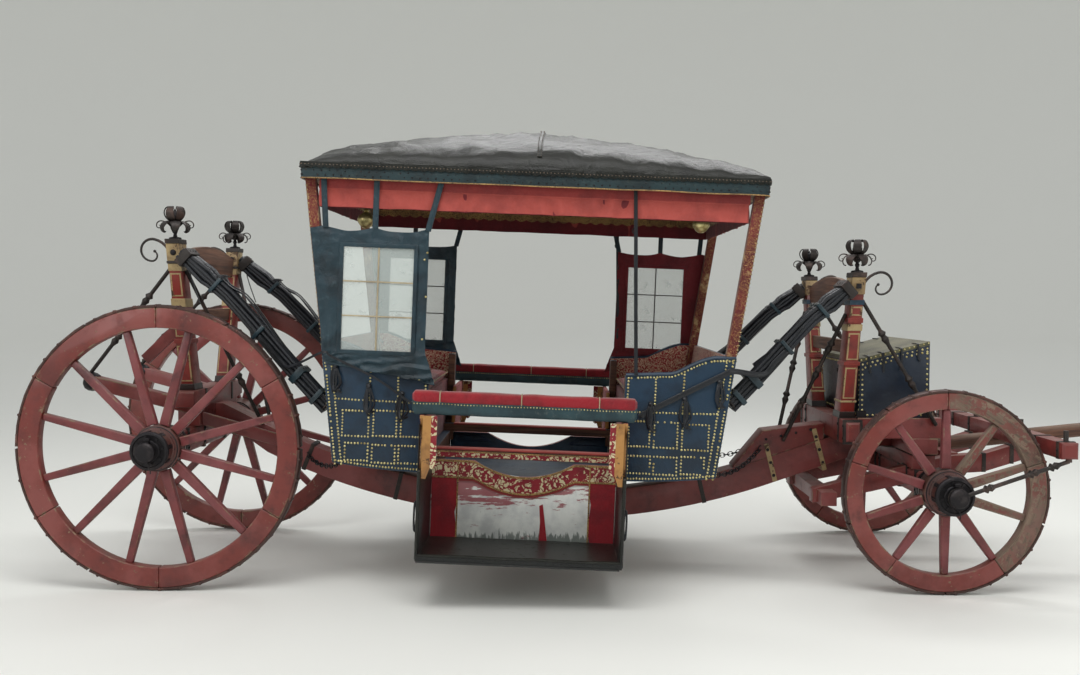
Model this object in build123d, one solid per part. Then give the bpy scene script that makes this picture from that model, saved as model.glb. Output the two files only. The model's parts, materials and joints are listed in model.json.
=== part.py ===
from build123d import *
import math
import os

# Horse-drawn coach of the braced kind: a bowed perch joins the hind axle to the fore transom,
# the body hangs from four standards on leather braces, and a boot hangs outside each doorway.
# All lengths in mm, +X forward, +Y to the coach's left, +Z up, ground at Z = 0.
# Stations along X are counted from the lowest point of the perch and moved at the end, so
# that X = 0 lies below the middle of the whole length.

# Wheels: radius, station, rim centre from the middle plane, number of spokes and felloes
hind_wheel_r = 780.0
fore_wheel_r = 555.0
hind_axle_x = -2155.0
fore_axle_x = 2120.0
track_half = 765.0
rim_width = 66.0
tyre_thick = 14.0
hind_felloe_depth = 112.0
fore_felloe_depth = 92.0
hind_spokes, fore_spokes = 12, 10
hind_felloes, fore_felloes = 6, 5
spoke_wide, spoke_deep = 46.0, 54.0
nave_inner_y, nave_outer_y = 600.0, 925.0
nave_r, nave_end_r, nave_box_r = 128.0, 104.0, 96.0
arm_r = 38.0
bearing_gap = 0.08
spoke_taper_wide, spoke_taper_deep = 0.8, 0.72
# Nave outline: share of the reach from the rim's middle plane, and radius
nave_inner_outline = ((1.0, nave_end_r), (0.45, nave_r))
nave_outer_outline = ((0.28, nave_r), (0.36, nave_end_r), (0.98, nave_box_r), (1.0, nave_box_r - 6))
hub_play = 5.0
joint_gap = 1.5

# Axles, bolsters and the standing fore bed
axle_wide, axle_high, axle_chamfer = 124.0, 140.0, 14.0
axle_end_long, axle_collar_long, axle_collar_out = 60.0, 26.0, 10.0
linchpin_size, linchpin_off = (16.0, 14.0, 99.0), 16.0
hind_bolster_half, hind_bolster_wide = 470.0, 130.0
hind_bolster_top, hind_bolster_mid = 1060.0, 955.0
hind_bolster_foot, hind_bolster_step, hind_bolster_cut = 360.0, 14.0, (12.0, 10.0)
fore_transom_x, fore_transom_half = 1690.0, 530.0
fore_transom_wide, fore_transom_bottom, fore_transom_top = 100.0, 780.0, 912.0
fore_bed_bottom, fore_bed_top = 710.0, 800.0
fore_bed_half, fore_bed_wide = 450.0, 150.0
fore_transom_cut, fore_arm_wide, fore_arm_cut = 22.0, 80.0, (20.0, 13.0)
fore_bolster_wide, fore_bolster_in = 130.0, 20.0
wear_gap = 0.3
wear_plate_thick = 8.0
wear_plate_r = 130.0

# Perch: an arc of this radius between straight ends
perch_wide, perch_high = 150.0, 164.0
perch_low_z = 335.0
perch_arc_r = 4000.0
perch_arc_back, perch_arc_front = -1750.0, 1350.0
perch_flat_back, perch_flat_front = -2020.0, 1990.0
perch_end_gap = 120.0
perch_end_high = perch_high - 10.0
perch_cap_back, perch_cap_step, perch_cap_rise = 1090.0, 1270.0, 14.0
perch_cap_step_z, perch_cap_front_z = 800.0, 846.0
perch_bolt_low, perch_bolt_head, perch_bolt_nut = 470.0, (34.0, 28.0), (30.0, 26.0)
perch_bolt_r = 16.0

# Standards (posts) and their irons: station, foot height, top height
post_foot_y, post_top_y = 320.0, 552.0
post_foot_size = (84.0, 136.0)
post_top_size = (68.0, 112.0)
hind_post_x, hind_post_top = -2130.0, 1925.0
fore_post_top = 1745.0
finial_high, finial_out = 180.0, 4.0
# A finial's stem as (share of its height, radius); its leaves as (out, up) with arcs by middle and end
finial_stem = ((0, 34), (0.06, 34), (0.08, 12), (0.35, 9), (0.45, 9), (0.52, 24), (0.66, 30), (0.8, 24),
               (0.88, 8), (1.0, 5))
finial_leaf_low = ((4, 80), (44, 106, 76, 62), (69, 58), (41, 94, 4, 66))
finial_leaf_high = ((14, 122), (56, 144, 30, 178), (24, 173), (44, 144, 12, 108))
finial_leaf_thick = 25.0
board_thick = 34.0
# Boards between two posts: shares of the posts' height, and the rise of the upper edge
cross_boards = ((0.78, 0.9, 70.0), (0.45, 0.54, 0.0))
scroll_drop, scroll_in, scroll_rise, scroll_heading = 78.0, 16.0, (10.0, 18.8), 62.0
stay_r = 11.0
# A stay's knob as (share of the stay's length, radius in stay radii)
stay_knob = ((-0.055, 1.0), (-0.03, 2.1), (-0.012, 1.2), (0.012, 1.9), (0.05, 1.0))
scroll_r = 7.0
scroll_arcs = ((120.0, 50.0), (62.0, 190.0), (30.0, 150.0))

# Arms behind and ahead, hounds, chest
arm_size = 78.0
hind_arm_end = (-2705.0, 372.0, 1112.0)
hind_arm_root = (-2110.0, 345.0, 960.0)
hind_hound_root, hind_hound_end = (-2110.0, 300.0, 900.0), (-1600.0, 40.0, 700.0)
hind_hound_size = (62.0, 74.0)
fore_arm_y, fore_arm_end_x = 400.0, 2240.0
chest_back, chest_front, chest_half, chest_floor = 1752.0, 2150.0, 420.0, 918.0
chest_back_top, chest_front_top = 1235.0, 1335.0
chest_wall, lid_thick, lid_gap = 16.0, 22.0, 0.5
# Stays of the hind and fore posts: side of the post, gap, share of its height, foot, knobs
stay_foot_y = perch_wide / 2 + 12
stay_rows = {
    -1: ((-1, 6.0, 0.82, (hind_arm_end[0] + 6, hind_arm_end[1], hind_arm_end[2] + arm_size / 2 + 8),
          (0.3, 0.68)),
         (1, 8.0, 0.8, (-1775.0, stay_foot_y, 829.0), (0.35, 0.7))),
    1: ((1, 6.0, 0.82, (fore_arm_end_x - 60, fore_arm_y + fore_arm_wide / 2 + 12, 880.0), (0.3, 0.66)),
        (-1, 8.0, 0.72, (1390.0, stay_foot_y, 740.0), (0.25, 0.45, 0.7)))}
hinge_out, hinge_y, knuckle_r, knuckle_long, hinge_pin_r = 12.0, 280.0, 9.0, 34.0, 4.0
hinge_leaf_high, hinge_strap_low = 16.0, 60.0

# Fore carriage that turns on the perch bolt
futchell_y, futchell_wide, futchell_high = 300.0, 78.0, 105.0
sway_bar_x, sway_bar_z, sway_bar_half, sway_bar_size = 1580.0, 450.0, 440.0, 80.0
sway_bar_wide, futchell_back = 90.0, 70.0
cross_bar_near, cross_bar_far, cross_bar_low, cross_bar_top = 20.0, 90.0, 90.0, 10.0
futchell_path = ((1850.0, 530.0), (2300.0, 636.0), (2500.0, 648.0), (2775.0, 735.0))
splinter_x, splinter_z, splinter_half, splinter_size = 2715.0, 800.0, 930.0, 86.0
splinter_cut, hub_stay_in, trace_pin_out = 12.0, 24.0, 60.0
pole_r, pole_tip_r, ferrule_r = 42.0, 30.0, 35.0
pole_straight, ferrule_start, pole_pin_back = 0.3, 0.975, 60.0
pole_root_gap, pole_root_z, pole_tip_x, pole_tip_z = 155.0, 705.0, 5300.0, 1015.0
pole_root_x = fore_axle_x + pole_root_gap
pole_pin_r, pole_pin_long, pin_seat, pin_collar_r = 11.0, 60.0, 40.0, 19.0
hub_eye_thick, hub_eye_wall, hub_eye_off = 8.0, 15.0, 28.0
hub_stay_knobs, hub_foot_size = (0.22, 0.66, 0.86), 16.0
trace_pin_r, trace_pin_long, trace_pin_in, pin_bed = 13.0, 60.0, 330.0, 10.0

# Body, in its own level frame: x from its middle, z from its sill; then pitched nose-down
body_x, body_z, body_pitch = -165.0, 632.0, 2.2
body_half_long, body_lean = 1035.0, 0.128
skin_out_y, skin_thick = 800.0, 25.0
pillar_size = 55.0
end_rise = 35.0
elbow_door_z, elbow_corner_z = 575.0, 690.0
door_half = 530.0
# The quarter's outline between doorway and corner: bottom sag, and the scoop of its top
quarter_mid, quarter_sag = 780.0, 8.0
quarter_scoop_out, quarter_scoop = 120.0, ((-4.0,), (860.0, -60.0), (780.0, 15.0))
sill_wide, sill_high = 60.0, 70.0
floor_thick = 25.0
well_floor_z, well_floor_thick = -100.0, 20.0
threshold_top, threshold_wide = 110.0, 60.0
jamb_long, jamb_wide = 43.0, 75.0
frame_z, frame_high, frame_wide = 1567.0, 60.0, 120.0
band_high, band_thick = 72.0, 10.0
eave_gap, eave_side, eave_rise = 2.6, 48.0, 8.0
eave_half_long = body_half_long + body_lean * frame_z + band_thick + eave_gap
eave_half_wide = skin_out_y + eave_side
valance_high, valance_thick = 150.0, 6.0
roof_crown, roof_base, roof_thick = 1970.0, 1650.0, 14.0
roof_tuck = 40.0
# Share of the roof's rise over the base: along half its length, and across half its width
roof_rise_along = ((0.0, 1.0), (0.28, 0.94), (0.45, 0.85), (0.61, 0.75), (0.8, 0.64), (0.94, 0.45),
                   (1.0, 0.08))
roof_rise_across = ((1.0, 0.05), (0.985, 0.2), (0.94, 0.32), (0.86, 0.47), (0.7, 0.65), (0.5, 0.8),
                    (0.25, 0.93),
                    (0.0, 1.0))
bow_places = (-620.0, 0.0, 620.0)
bow_wide, bow_high = 44.0, 30.0
curtain_thick, curtain_gap = 18.0, 2.0
curtain_bottom, curtain_top, curtain_door_edge = 590.0, 1310.0, 555.0
curtain_tip, curtain_elbow, curtain_sag = (470.0, 470.0), 640.0, (780.0, 60.0)
curtain_back, curtain_arch, curtain_lap = 6.0, 10.0, 12.0
pane_near, pane_far, pane_low, pane_high = door_half + 100, body_half_long - 23, 650.0, 1207.0
curtain_straps = (door_half + 45, door_half + 315, body_half_long + 95)
strap_tab = 36.0
muntin = 14.0
glass_thick = 3.0
seat_depth, seat_high, cushion_high = 400.0, 340.0, 80.0
seat_back_gap, seat_side_gap = 4.0, 6.0

# Boots outside the doorways
boot_out_y, boot_back_y = 1150.0, 600.0
boot_board_thick, boot_board_low, boot_board_high = 25.0, 70.0, 398.0
boot_board_curve = (60.0, 90.0, 120.0, 10.0)
tray_bottom, tray_thick, tray_lip = -398.0, 14.0, 34.0
back_panel_thick, dip_top, dip_half, dip_deep = 16.0, 50.0, 276.0, 82.0
bar_half, bar_deep, bar_high, bar_z, bar_round = 572.0, 74.0, 124.0, 415.0, 16.0

# Braces: three leather straps to each corner, from below the post's top to a foot on the body
strap_wide, strap_thick, strap_apart = 46.0, 14.0, 30.0
brace_drop, brace_off = 75.0, 3.0
brace_foot = {-1: (55.0, 690.0, 325.0), 1: (75.0, 690.0, 425.0)}
brace_bow = ((0.0, 0.0), (0.3, 26.0), (0.65, 14.0), (1.0, 0.0))

axle_end_y = nave_outer_y + 62.0
length_back = hind_axle_x - hind_wheel_r
pole_slope = math.atan2(pole_tip_z - pole_root_z, pole_tip_x - pole_root_x)
length_front = pole_tip_x + ferrule_r * math.sin(pole_slope)
middle_x = (length_back + length_front) / 2
held = {}
body_place = Pos(body_x, 0, body_z) * Rot(0, body_pitch, 0)
os.makedirs("parts", exist_ok=True)


def save(name, *solids):
    flat = [s for shape in solids for s in shape.solids()]
    shape = flat[0] if len(flat) == 1 else Compound(children=flat)
    export_step(Pos(-middle_x, 0, 0) * shape, f"parts/{name}.step")


def block(x0, x1, y0, y1, z0, z1):
    return Pos((x0 + x1) / 2, (y0 + y1) / 2, (z0 + z1) / 2) * Box(abs(x1 - x0), abs(y1 - y0), abs(z1 - z0))


def outline(points, lift):
    # A point is (a, b); a point with four numbers is an arc's middle and its end.
    edges, here = [], points[0]
    for p in points[1:] + [points[0]]:
        if len(p) == 4:
            edges.append(Edge.make_three_point_arc(lift(*here), lift(p[0], p[1]), lift(p[2], p[3])))
            here = (p[2], p[3])
        else:
            edges.append(Edge.make_line(lift(*here), lift(*p)))
            here = p
    return Face(Wire(edges))


def side_plate(points, y0, y1):
    return Solid.extrude(outline(points, lambda x, z: Vector(x, y0, z)), Vector(0, y1 - y0, 0))


def cross_plate(points, x0, x1):
    return Solid.extrude(outline(points, lambda y, z: Vector(x0, y, z)), Vector(x1 - x0, 0, 0))


def both_sides(shape):
    return [shape, mirror(shape, about=Plane.XZ)]


def bar(p, q, wide, high, taper=1.0):
    # A straight bar of oblong section from p to q, its width kept level.
    start, end = Vector(*p), Vector(*q)
    along = (end - start).normalized()
    level = Vector(0, 0, 1).cross(along).normalized()
    plane_a = Plane(start, x_dir=level, z_dir=along)
    plane_b = Plane(end, x_dir=level, z_dir=along)
    return loft([plane_a * Rectangle(wide, high), plane_b * Rectangle(wide * taper, high * taper)],
                ruled=True)


def turned(p, q, profile):
    # A round piece from p to q; profile lists (share of the length, radius).
    start, end = Vector(*p), Vector(*q)
    along = end - start
    plane = Plane(start, z_dir=along.normalized())
    points = [(0, 0)] + [(r, t * along.length) for t, r in profile] + [(0, along.length)]
    edges = [Edge.make_line(Vector(a[0], 0, a[1]), Vector(b[0], 0, b[1]))
             for a, b in zip(points, points[1:] + points[:1])]
    return plane * revolve(Face(Wire(edges)), Axis.Z)


def stay(p, q, knobs):
    # An iron stay with baluster knobs at the given shares of its length.
    profile = [(0.0, stay_r)]
    for k in knobs:
        profile += [(k + share, stay_r * size) for share, size in stay_knob]
    return turned(p, q, profile + [(1.0, stay_r)])


def ring(half_x, half_y, thick, z0, z1):
    return block(-half_x, half_x, -half_y, half_y, z0, z1) - block(
        -half_x + thick, half_x - thick, -half_y + thick, half_y - thick, z0 - 1, z1 + 1)


def body_point(x, y, z):
    a = math.radians(body_pitch)
    return (body_x + x * math.cos(a) + z * math.sin(a), y, body_z - x * math.sin(a) + z * math.cos(a))


def perch_mid(x):
    return perch_low_z + perch_arc_r - math.sqrt(perch_arc_r ** 2 - x ** 2)


def post_y(share):
    return post_foot_y + (post_top_y - post_foot_y) * share


def wheel(name, axle_x, radius, side, spokes, felloes, felloe_depth):
    centre = Pos(axle_x, side * track_half, radius) * Rot(90, 0, 0)
    tyre_in = radius - tyre_thick
    felloe_in = tyre_in - felloe_depth
    tyre = Cylinder(radius, rim_width) - Cylinder(tyre_in, rim_width + 2)
    rim = Cylinder(tyre_in, rim_width) - Cylinder(felloe_in, rim_width + 2)
    step = 360.0 / felloes
    for i in range(felloes):
        rim -= Rot(0, 0, 90 + i * step) * Pos((tyre_in + felloe_in) / 2, 0, 0) * Box(
            felloe_depth + 20, joint_gap, rim_width + 2)
    inner, outer = (track_half - nave_inner_y) * side, (track_half - nave_outer_y) * side
    sections = [(inner * share, r) for share, r in nave_inner_outline]
    sections += [(outer * share, r) for share, r in nave_outer_outline]
    points = [(0, inner)] + [(r, z) for z, r in sections] + [(0, outer)]
    edges = [Edge.make_line(Vector(a[0], 0, a[1]), Vector(b[0], 0, b[1]))
             for a, b in zip(points, points[1:] + points[:1])]
    nave = revolve(Face(Wire(edges)), Axis.Z)
    nave -= Cylinder(arm_r + bearing_gap, 2 * nave_outer_y)
    pins = []
    for i in range(spokes):
        spoke = loft([Pos(0, 0, nave_end_r - 10) * Rectangle(spoke_wide, spoke_deep),
                      Pos(0, 0, felloe_in) * Rectangle(spoke_wide * spoke_taper_wide,
                                                     spoke_deep * spoke_taper_deep)], ruled=True)
        pins.append(Rot(0, 0, (i + 0.5) * 360.0 / spokes) * Rot(0, 90, 0) * spoke)
    web = Compound(children=[s for p in pins for s in (p & (Cylinder(felloe_in, 400) - nave)).solids()])
    save(f"wheel_{name}_nave", centre * nave)
    save(f"wheel_{name}_spokes", centre * web)
    save(f"wheel_{name}_felloes", centre * rim)
    save(f"wheel_{name}_tyre", centre * tyre)


def axle(x, z):
    beam = block(x - axle_wide / 2, x + axle_wide / 2, -(nave_inner_y - hub_play), nave_inner_y - hub_play,
                 z - axle_high / 2, z + axle_high / 2)
    beam = chamfer(beam.edges().filter_by(Axis.Y), axle_chamfer)
    for s in (-1, 1):
        reach = nave_outer_y - nave_inner_y + hub_play + axle_end_long
        beam += Pos(x, s * (nave_inner_y - hub_play + reach / 2), z) * Rot(90, 0, 0) * Cylinder(arm_r,
                reach)
        beam += Pos(x, s * (nave_outer_y + linchpin_off), z) * Box(*linchpin_size)
        beam += Pos(x, s * (axle_end_y - linchpin_off), z) * Rot(90, 0, 0) * Cylinder(
            arm_r + axle_collar_out, axle_collar_long)
    return beam


def make_wheels():
    rows = [("rear_right", hind_axle_x, hind_wheel_r, -1, hind_spokes, hind_felloes, hind_felloe_depth),
            ("rear_left", hind_axle_x, hind_wheel_r, 1, hind_spokes, hind_felloes, hind_felloe_depth),
            ("front_right", fore_axle_x, fore_wheel_r, -1, fore_spokes, fore_felloes, fore_felloe_depth),
            ("front_left", fore_axle_x, fore_wheel_r, 1, fore_spokes, fore_felloes, fore_felloe_depth)]
    for row in rows:
        wheel(*row)


def perch_solid():
    half = perch_high / 2
    back_end, front_end = hind_axle_x - perch_end_gap, fore_axle_x + perch_end_gap
    low, high = perch_mid(perch_arc_back), perch_mid(perch_arc_front)
    hind_top_of_axle = hind_wheel_r + axle_high / 2
    middle = 0.5 * (perch_arc_back + perch_arc_front)
    return side_plate([
        (back_end, hind_top_of_axle), (perch_flat_back, hind_top_of_axle), (perch_arc_back, low - half),
        (middle, perch_mid(middle) - half, perch_arc_front, high - half),
        (perch_flat_front, fore_bed_bottom), (front_end, fore_bed_bottom),
        (front_end, fore_bed_bottom + perch_end_high), (perch_flat_front, fore_bed_bottom + perch_end_high),
        (perch_arc_front, high + half), (middle, perch_mid(middle) + half, perch_arc_back, low + half),
        (perch_flat_back, hind_bolster_mid), (back_end, hind_bolster_mid)], -perch_wide / 2, perch_wide / 2)


def make_carriage():
    perch = perch_solid()
    bolt_hole = Pos(fore_axle_x, 0, 0) * Cylinder(perch_bolt_r + 0.05, 4000)
    top_front = fore_bed_bottom + perch_end_high
    # The cap is a second beam scarfed on the front of the perch, up to the transom.
    cap_front = fore_transom_x - fore_transom_wide / 2
    cap = side_plate([(perch_cap_back, perch_low_z), (perch_cap_back,
                      perch_mid(perch_cap_back) + perch_high / 2 + perch_cap_rise),
                      (perch_cap_step, perch_cap_step_z), (cap_front, perch_cap_front_z),
                      (cap_front, perch_low_z)],
                     -perch_wide / 2, perch_wide / 2) - perch
    cap = max(cap.solids(), key=lambda s: s.center().Z)
    save("perch", perch - bolt_hole)
    save("perch_cap", cap)

    hind_axle = axle(hind_axle_x, hind_wheel_r)
    save("rear_axle", hind_axle)
    half, wide = hind_bolster_half, hind_bolster_wide / 2
    x = hind_post_x
    axle_top = hind_wheel_r + axle_high / 2
    foot, (cut_y, cut_z) = hind_bolster_foot, hind_bolster_cut
    right_half = [(foot, axle_top), (foot, hind_bolster_mid), (half, hind_bolster_mid + hind_bolster_step),
                  (half, hind_bolster_top - cut_z), (half - cut_y, hind_bolster_top)]
    bolster = cross_plate(right_half + [(-y, z) for y, z in reversed(right_half)], x - wide, x + wide)
    arms = both_sides(bar(hind_arm_end, hind_arm_root, arm_size, arm_size))
    hounds = both_sides(bar(hind_hound_root, hind_hound_end, *hind_hound_size))
    hounds = [max((h - perch).solids(), key=lambda s: s.volume) for h in hounds]
    bolster = bolster - perch - arms[0] - arms[1] - hounds[0] - hounds[1]
    save("rear_bolster", max(bolster.solids(), key=lambda s: s.volume))
    arms = [a - perch for a in arms]
    save("rear_arms", *arms)
    save("rear_hounds", *hounds)

    make_standards("rear", hind_post_x, hind_bolster_top, hind_post_top, -1)
    make_standards("front", fore_transom_x, fore_transom_top, fore_post_top, 1)

    beam = perch + cap
    transom = block(fore_transom_x - fore_transom_wide / 2, fore_transom_x + fore_transom_wide / 2,
                    -fore_transom_half, fore_transom_half, fore_transom_bottom, fore_transom_top)
    transom = chamfer(transom.faces().filter_by(Axis.Y).edges(), fore_transom_cut) - beam
    save("front_transom", transom)
    arm_front = []
    for s in (-1, 1):
        y = s * fore_arm_y
        arm_front.append(side_plate([
            (fore_transom_x + fore_transom_wide / 2, fore_bed_top), (fore_arm_end_x, fore_bed_top),
            (fore_arm_end_x, chest_floor - fore_arm_cut[1]), (fore_arm_end_x - fore_arm_cut[0],
                    chest_floor),
            (fore_transom_x + fore_transom_wide / 2, chest_floor)], y - fore_arm_wide / 2,
            y + fore_arm_wide / 2))
    bed = block(fore_axle_x - fore_bed_wide / 2, fore_axle_x + fore_bed_wide / 2, -fore_bed_half,
                fore_bed_half, fore_bed_bottom,
                fore_bed_top)
    halves = sorted((bed - perch).solids(), key=lambda t: t.center().Y)
    save("front_arms", *[arm + half_bed for arm, half_bed in zip(arm_front, halves)])
    bolt = Pos(fore_axle_x, 0, (perch_bolt_low + top_front) / 2) * Cylinder(
        perch_bolt_r, top_front - perch_bolt_low)
    bolt += Pos(fore_axle_x, 0, top_front + perch_bolt_head[1] / 2) * Cylinder(*perch_bolt_head)
    bolt += Pos(fore_axle_x, 0, fore_wheel_r - axle_high / 2 - wear_gap - perch_bolt_nut[1] / 2) * Cylinder(
        *perch_bolt_nut)
    save("perch_bolt", bolt)

    # Driver's chest on the fore arms, with a lid that hinges at its front edge.
    z0 = chest_floor
    side = [(chest_back, z0), (chest_front, z0), (chest_front, chest_front_top),
            (chest_back, chest_back_top)]
    shell = side_plate(side, -chest_half, chest_half)
    w = chest_wall
    inner = side_plate([(chest_back + w, z0 + w), (chest_front - w, z0 + w),
                        (chest_front - w, chest_front_top + 50),
                        (chest_back + w, chest_back_top + 50)], -chest_half + w, chest_half - w)
    g = lid_gap
    lid = side_plate([(chest_back, chest_back_top + g), (chest_front, chest_front_top + g),
                      (chest_front, chest_front_top + g + lid_thick),
                      (chest_back, chest_back_top + g + lid_thick)],
                     -chest_half, chest_half)
    # Each hinge: a knuckle and pin on the chest, and a knuckle on the lid that turns on the pin.
    hx, hz = chest_front + hinge_out, chest_front_top + g + lid_thick / 2
    box = shell - inner
    for y in (-hinge_y, hinge_y):
        box += block(chest_front, hx, y - knuckle_long, y, hz - hinge_strap_low, hz)
        box += Pos(hx, y - knuckle_long / 2, hz) * Rot(90, 0, 0) * Cylinder(knuckle_r, knuckle_long)
        box += Pos(hx, y + knuckle_long / 2, hz) * Rot(90, 0, 0) * Cylinder(hinge_pin_r, knuckle_long + 2)
        bore = Pos(hx, y + knuckle_long / 2, hz) * Rot(90, 0, 0) * Cylinder(hinge_pin_r + bearing_gap,
                2 * knuckle_long)
        leaf = block(chest_front, hx, y + lid_gap, y + knuckle_long, hz - hinge_leaf_high / 2,
                     hz + hinge_leaf_high / 2)
        leaf += Pos(hx, y + (lid_gap + knuckle_long) / 2, hz) * Rot(90, 0, 0) * Cylinder(
            knuckle_r, knuckle_long - lid_gap)
        lid = lid + (leaf - bore)
    save("chest", box)
    save("chest_lid", lid)


def make_standards(name, x, foot_z, top_z, out):
    # Two posts that splay outwards, their iron finials, scrolls, stays, and the boards between.
    posts, finials, scrolls = [], [], []
    (fx, fy), (tx, ty) = post_foot_size, post_top_size
    for s in (-1, 1):
        foot = Plane(Vector(x, s * post_foot_y, foot_z)) * Rectangle(fx, fy)
        top = Plane(Vector(x, s * post_top_y, top_z)) * Rectangle(tx, ty)
        posts.append(loft([foot, top], ruled=True))
        c = Vector(x, s * (post_top_y + finial_out), top_z)
        stem = turned((c.X, c.Y, c.Z), (c.X, c.Y, c.Z + finial_high), finial_stem)
        half = finial_leaf_thick / 2
        for i in range(4):
            for shape, angle in ((finial_leaf_low, 45), (finial_leaf_high, 0)):
                leaf = side_plate(list(shape), -half, half)
                stem = stem + Pos(c.X, c.Y, c.Z) * Rot(0, 0, angle + 90 * i) * leaf
        finials.append(stem)
    # The scroll iron curls away from the body: arcs of (radius, degrees turned) set end to end.
    for s in (-1, 1):
        y, heading = s * (post_top_y - scroll_in), scroll_heading
        root = Vector(x + out * (tx / 2 + 1.2), y, top_z - scroll_drop)
        here = (root.X + out * scroll_rise[0], root.Z + scroll_rise[1])
        edges = [Edge.make_line(root, Vector(here[0], y, here[1]))]
        for radius, turn in scroll_arcs:
            def at(angle):
                a, b = math.radians(heading + 90), math.radians(heading + 90 - angle)
                run = radius * (math.cos(b) - math.cos(a))
                return Vector(here[0] + out * run, y, here[1] + radius * (math.sin(b) - math.sin(a)))
            edges.append(Edge.make_three_point_arc(Vector(here[0], y, here[1]), at(turn / 2), at(turn)))
            here = (at(turn).X, at(turn).Z)
            heading -= turn
        path = Wire(edges)
        start = Plane(path @ 0, z_dir=path % 0)
        scrolls.append(sweep(start * Circle(scroll_r), path))
    height = top_z - foot_z
    boards = []
    for low, high, arch in cross_boards:
        z0, z1 = foot_z + low * height, foot_z + high * height
        y0, y1 = post_y(low) - 20, post_y(high) - 20
        top = [(y1, z1), (0, z1 + arch, -y1, z1)] if arch else [(y1, z1), (-y1, z1)]
        boards.append(cross_plate([(-y0, z0), (y0, z0)] + top, x - board_thick / 2, x + board_thick / 2))
    boards = [b - posts[0] - posts[1] for b in boards]
    save(f"{name}_posts", *posts)
    held[out] = Compound(children=posts)
    save(f"{name}_post_irons", *finials, *[sc - posts[0] - posts[1] for sc in scrolls])
    save(f"{name}_cross_boards", *[max(b.solids(), key=lambda t: t.volume) for b in boards])
    stays = []
    for s in (-1, 1):
        for side, off, share, end, knobs in stay_rows[out]:
            root = (x + side * (tx / 2 + off), s * post_y(share), foot_z + share * height)
            stays.append(stay(root, (end[0], s * end[1], end[2]), knobs))
    stays = [stay_rod - posts[0] - posts[1] for stay_rod in stays]
    save(f"{name}_stays", *[max(rod.solids(), key=lambda t: t.volume) for rod in stays])


def make_fore_carriage():
    z = fore_wheel_r
    bolt = Pos(fore_axle_x, 0, 0) * Cylinder(perch_bolt_r + bearing_gap, 4000)
    beam = axle(fore_axle_x, z)
    axle_top = z + axle_high / 2
    bolster_top = fore_bed_bottom - wear_gap - wear_plate_thick
    futchells = []
    for s in (-1, 1):
        y = s * futchell_y
        h = futchell_high / 2
        rear = sway_bar_x - futchell_back
        bottom = [(rear, sway_bar_z - sway_bar_size / 2)] + [(px, pz - h) for px, pz in futchell_path]
        top = [(px, pz + h) for px, pz in reversed(futchell_path)] + [(rear,
                sway_bar_z + sway_bar_size / 2)]
        futchells.append(side_plate(bottom + top, y - futchell_wide / 2, y + futchell_wide / 2))
    wide, long = fore_bolster_wide / 2, fore_bed_half - fore_bolster_in
    bolster = block(fore_axle_x - wide, fore_axle_x + wide, -long, long, axle_top, bolster_top)
    bolster = bolster - futchells[0] - futchells[1]
    beam = beam - futchells[0] - futchells[1] - bolt
    plate = Pos(fore_axle_x, 0, bolster_top + wear_plate_thick / 2) * Cylinder(wear_plate_r,
            wear_plate_thick)
    save("front_axle", max(beam.solids(), key=lambda s: s.volume))
    save("fore_bolster", (bolster + plate) - bolt)
    sway = block(sway_bar_x - sway_bar_wide / 2, sway_bar_x + sway_bar_wide / 2, -sway_bar_half,
                 sway_bar_half,
                 sway_bar_z - sway_bar_size / 2, sway_bar_z + sway_bar_size / 2)
    size = splinter_size / 2
    splinter = block(splinter_x - size, splinter_x + size, -splinter_half, splinter_half,
                     splinter_z - size, splinter_z + size)
    splinter = chamfer(splinter.faces().filter_by(Axis.Y).edges(), splinter_cut)
    pole = turned((pole_root_x, 0, pole_root_z), (pole_tip_x, 0, pole_tip_z),
                  [(0, pole_r), (pole_straight, pole_r), (ferrule_start, pole_tip_r),
                   (ferrule_start, ferrule_r), (1.0, ferrule_r)])
    splinter = splinter - pole
    cross = block(pole_root_x + cross_bar_near, pole_root_x + cross_bar_far, -futchell_y, futchell_y,
                  fore_bed_bottom - cross_bar_low, fore_bed_bottom - cross_bar_top)
    frame = (futchells[0] + sway + futchells[1] + (cross - pole)) - splinter
    save("futchells", max(frame.solids(), key=lambda s: s.volume))
    for y in (trace_pin_out - splinter_half, -trace_pin_in, trace_pin_in, splinter_half - trace_pin_out):
        splinter += Pos(splinter_x, y, splinter_z + size + (trace_pin_long - pin_bed) / 2) * Cylinder(
            trace_pin_r, trace_pin_long + pin_bed)
    save("splinter_bar", splinter)
    # The pole ends in an iron ferrule with an upright pin for the chains of the pair.
    pin_x = pole_tip_x - pole_pin_back
    tip_z = pole_root_z + (pole_tip_z - pole_root_z) * (pin_x - pole_root_x) / (pole_tip_x - pole_root_x)
    pole += Pos(pin_x, 0, tip_z + pin_seat / 2) * Cylinder(pin_collar_r, pin_seat)
    pole += Pos(pin_x, 0, tip_z + (pin_seat + pole_pin_long) / 2) * Cylinder(pole_pin_r,
            pin_seat + pole_pin_long)
    save("draught_pole", pole)
    # Iron stays from the axle's ends to the ends of the splinter bar.
    hub_stays = []
    for s in (-1, 1):
        eye_y, foot_y = s * (nave_outer_y + hub_eye_off), s * (splinter_half - hub_stay_in)
        eye = Pos(fore_axle_x, eye_y, z) * Rot(90, 0, 0) * (
            Cylinder(arm_r + hub_eye_wall, hub_eye_thick) - Cylinder(arm_r + bearing_gap,
                    hub_eye_thick + 2))
        rod = stay((fore_axle_x + arm_r + hub_eye_thick, eye_y, z + 14),
                   (splinter_x, foot_y, splinter_z - size - stay_r - 2), hub_stay_knobs)
        foot = Pos(splinter_x, foot_y, splinter_z - size - hub_foot_size / 2) * Cylinder(
            hub_foot_size, hub_foot_size)
        hub_stays.append(eye + rod + foot)
    save("hub_stays", *hub_stays)


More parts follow.
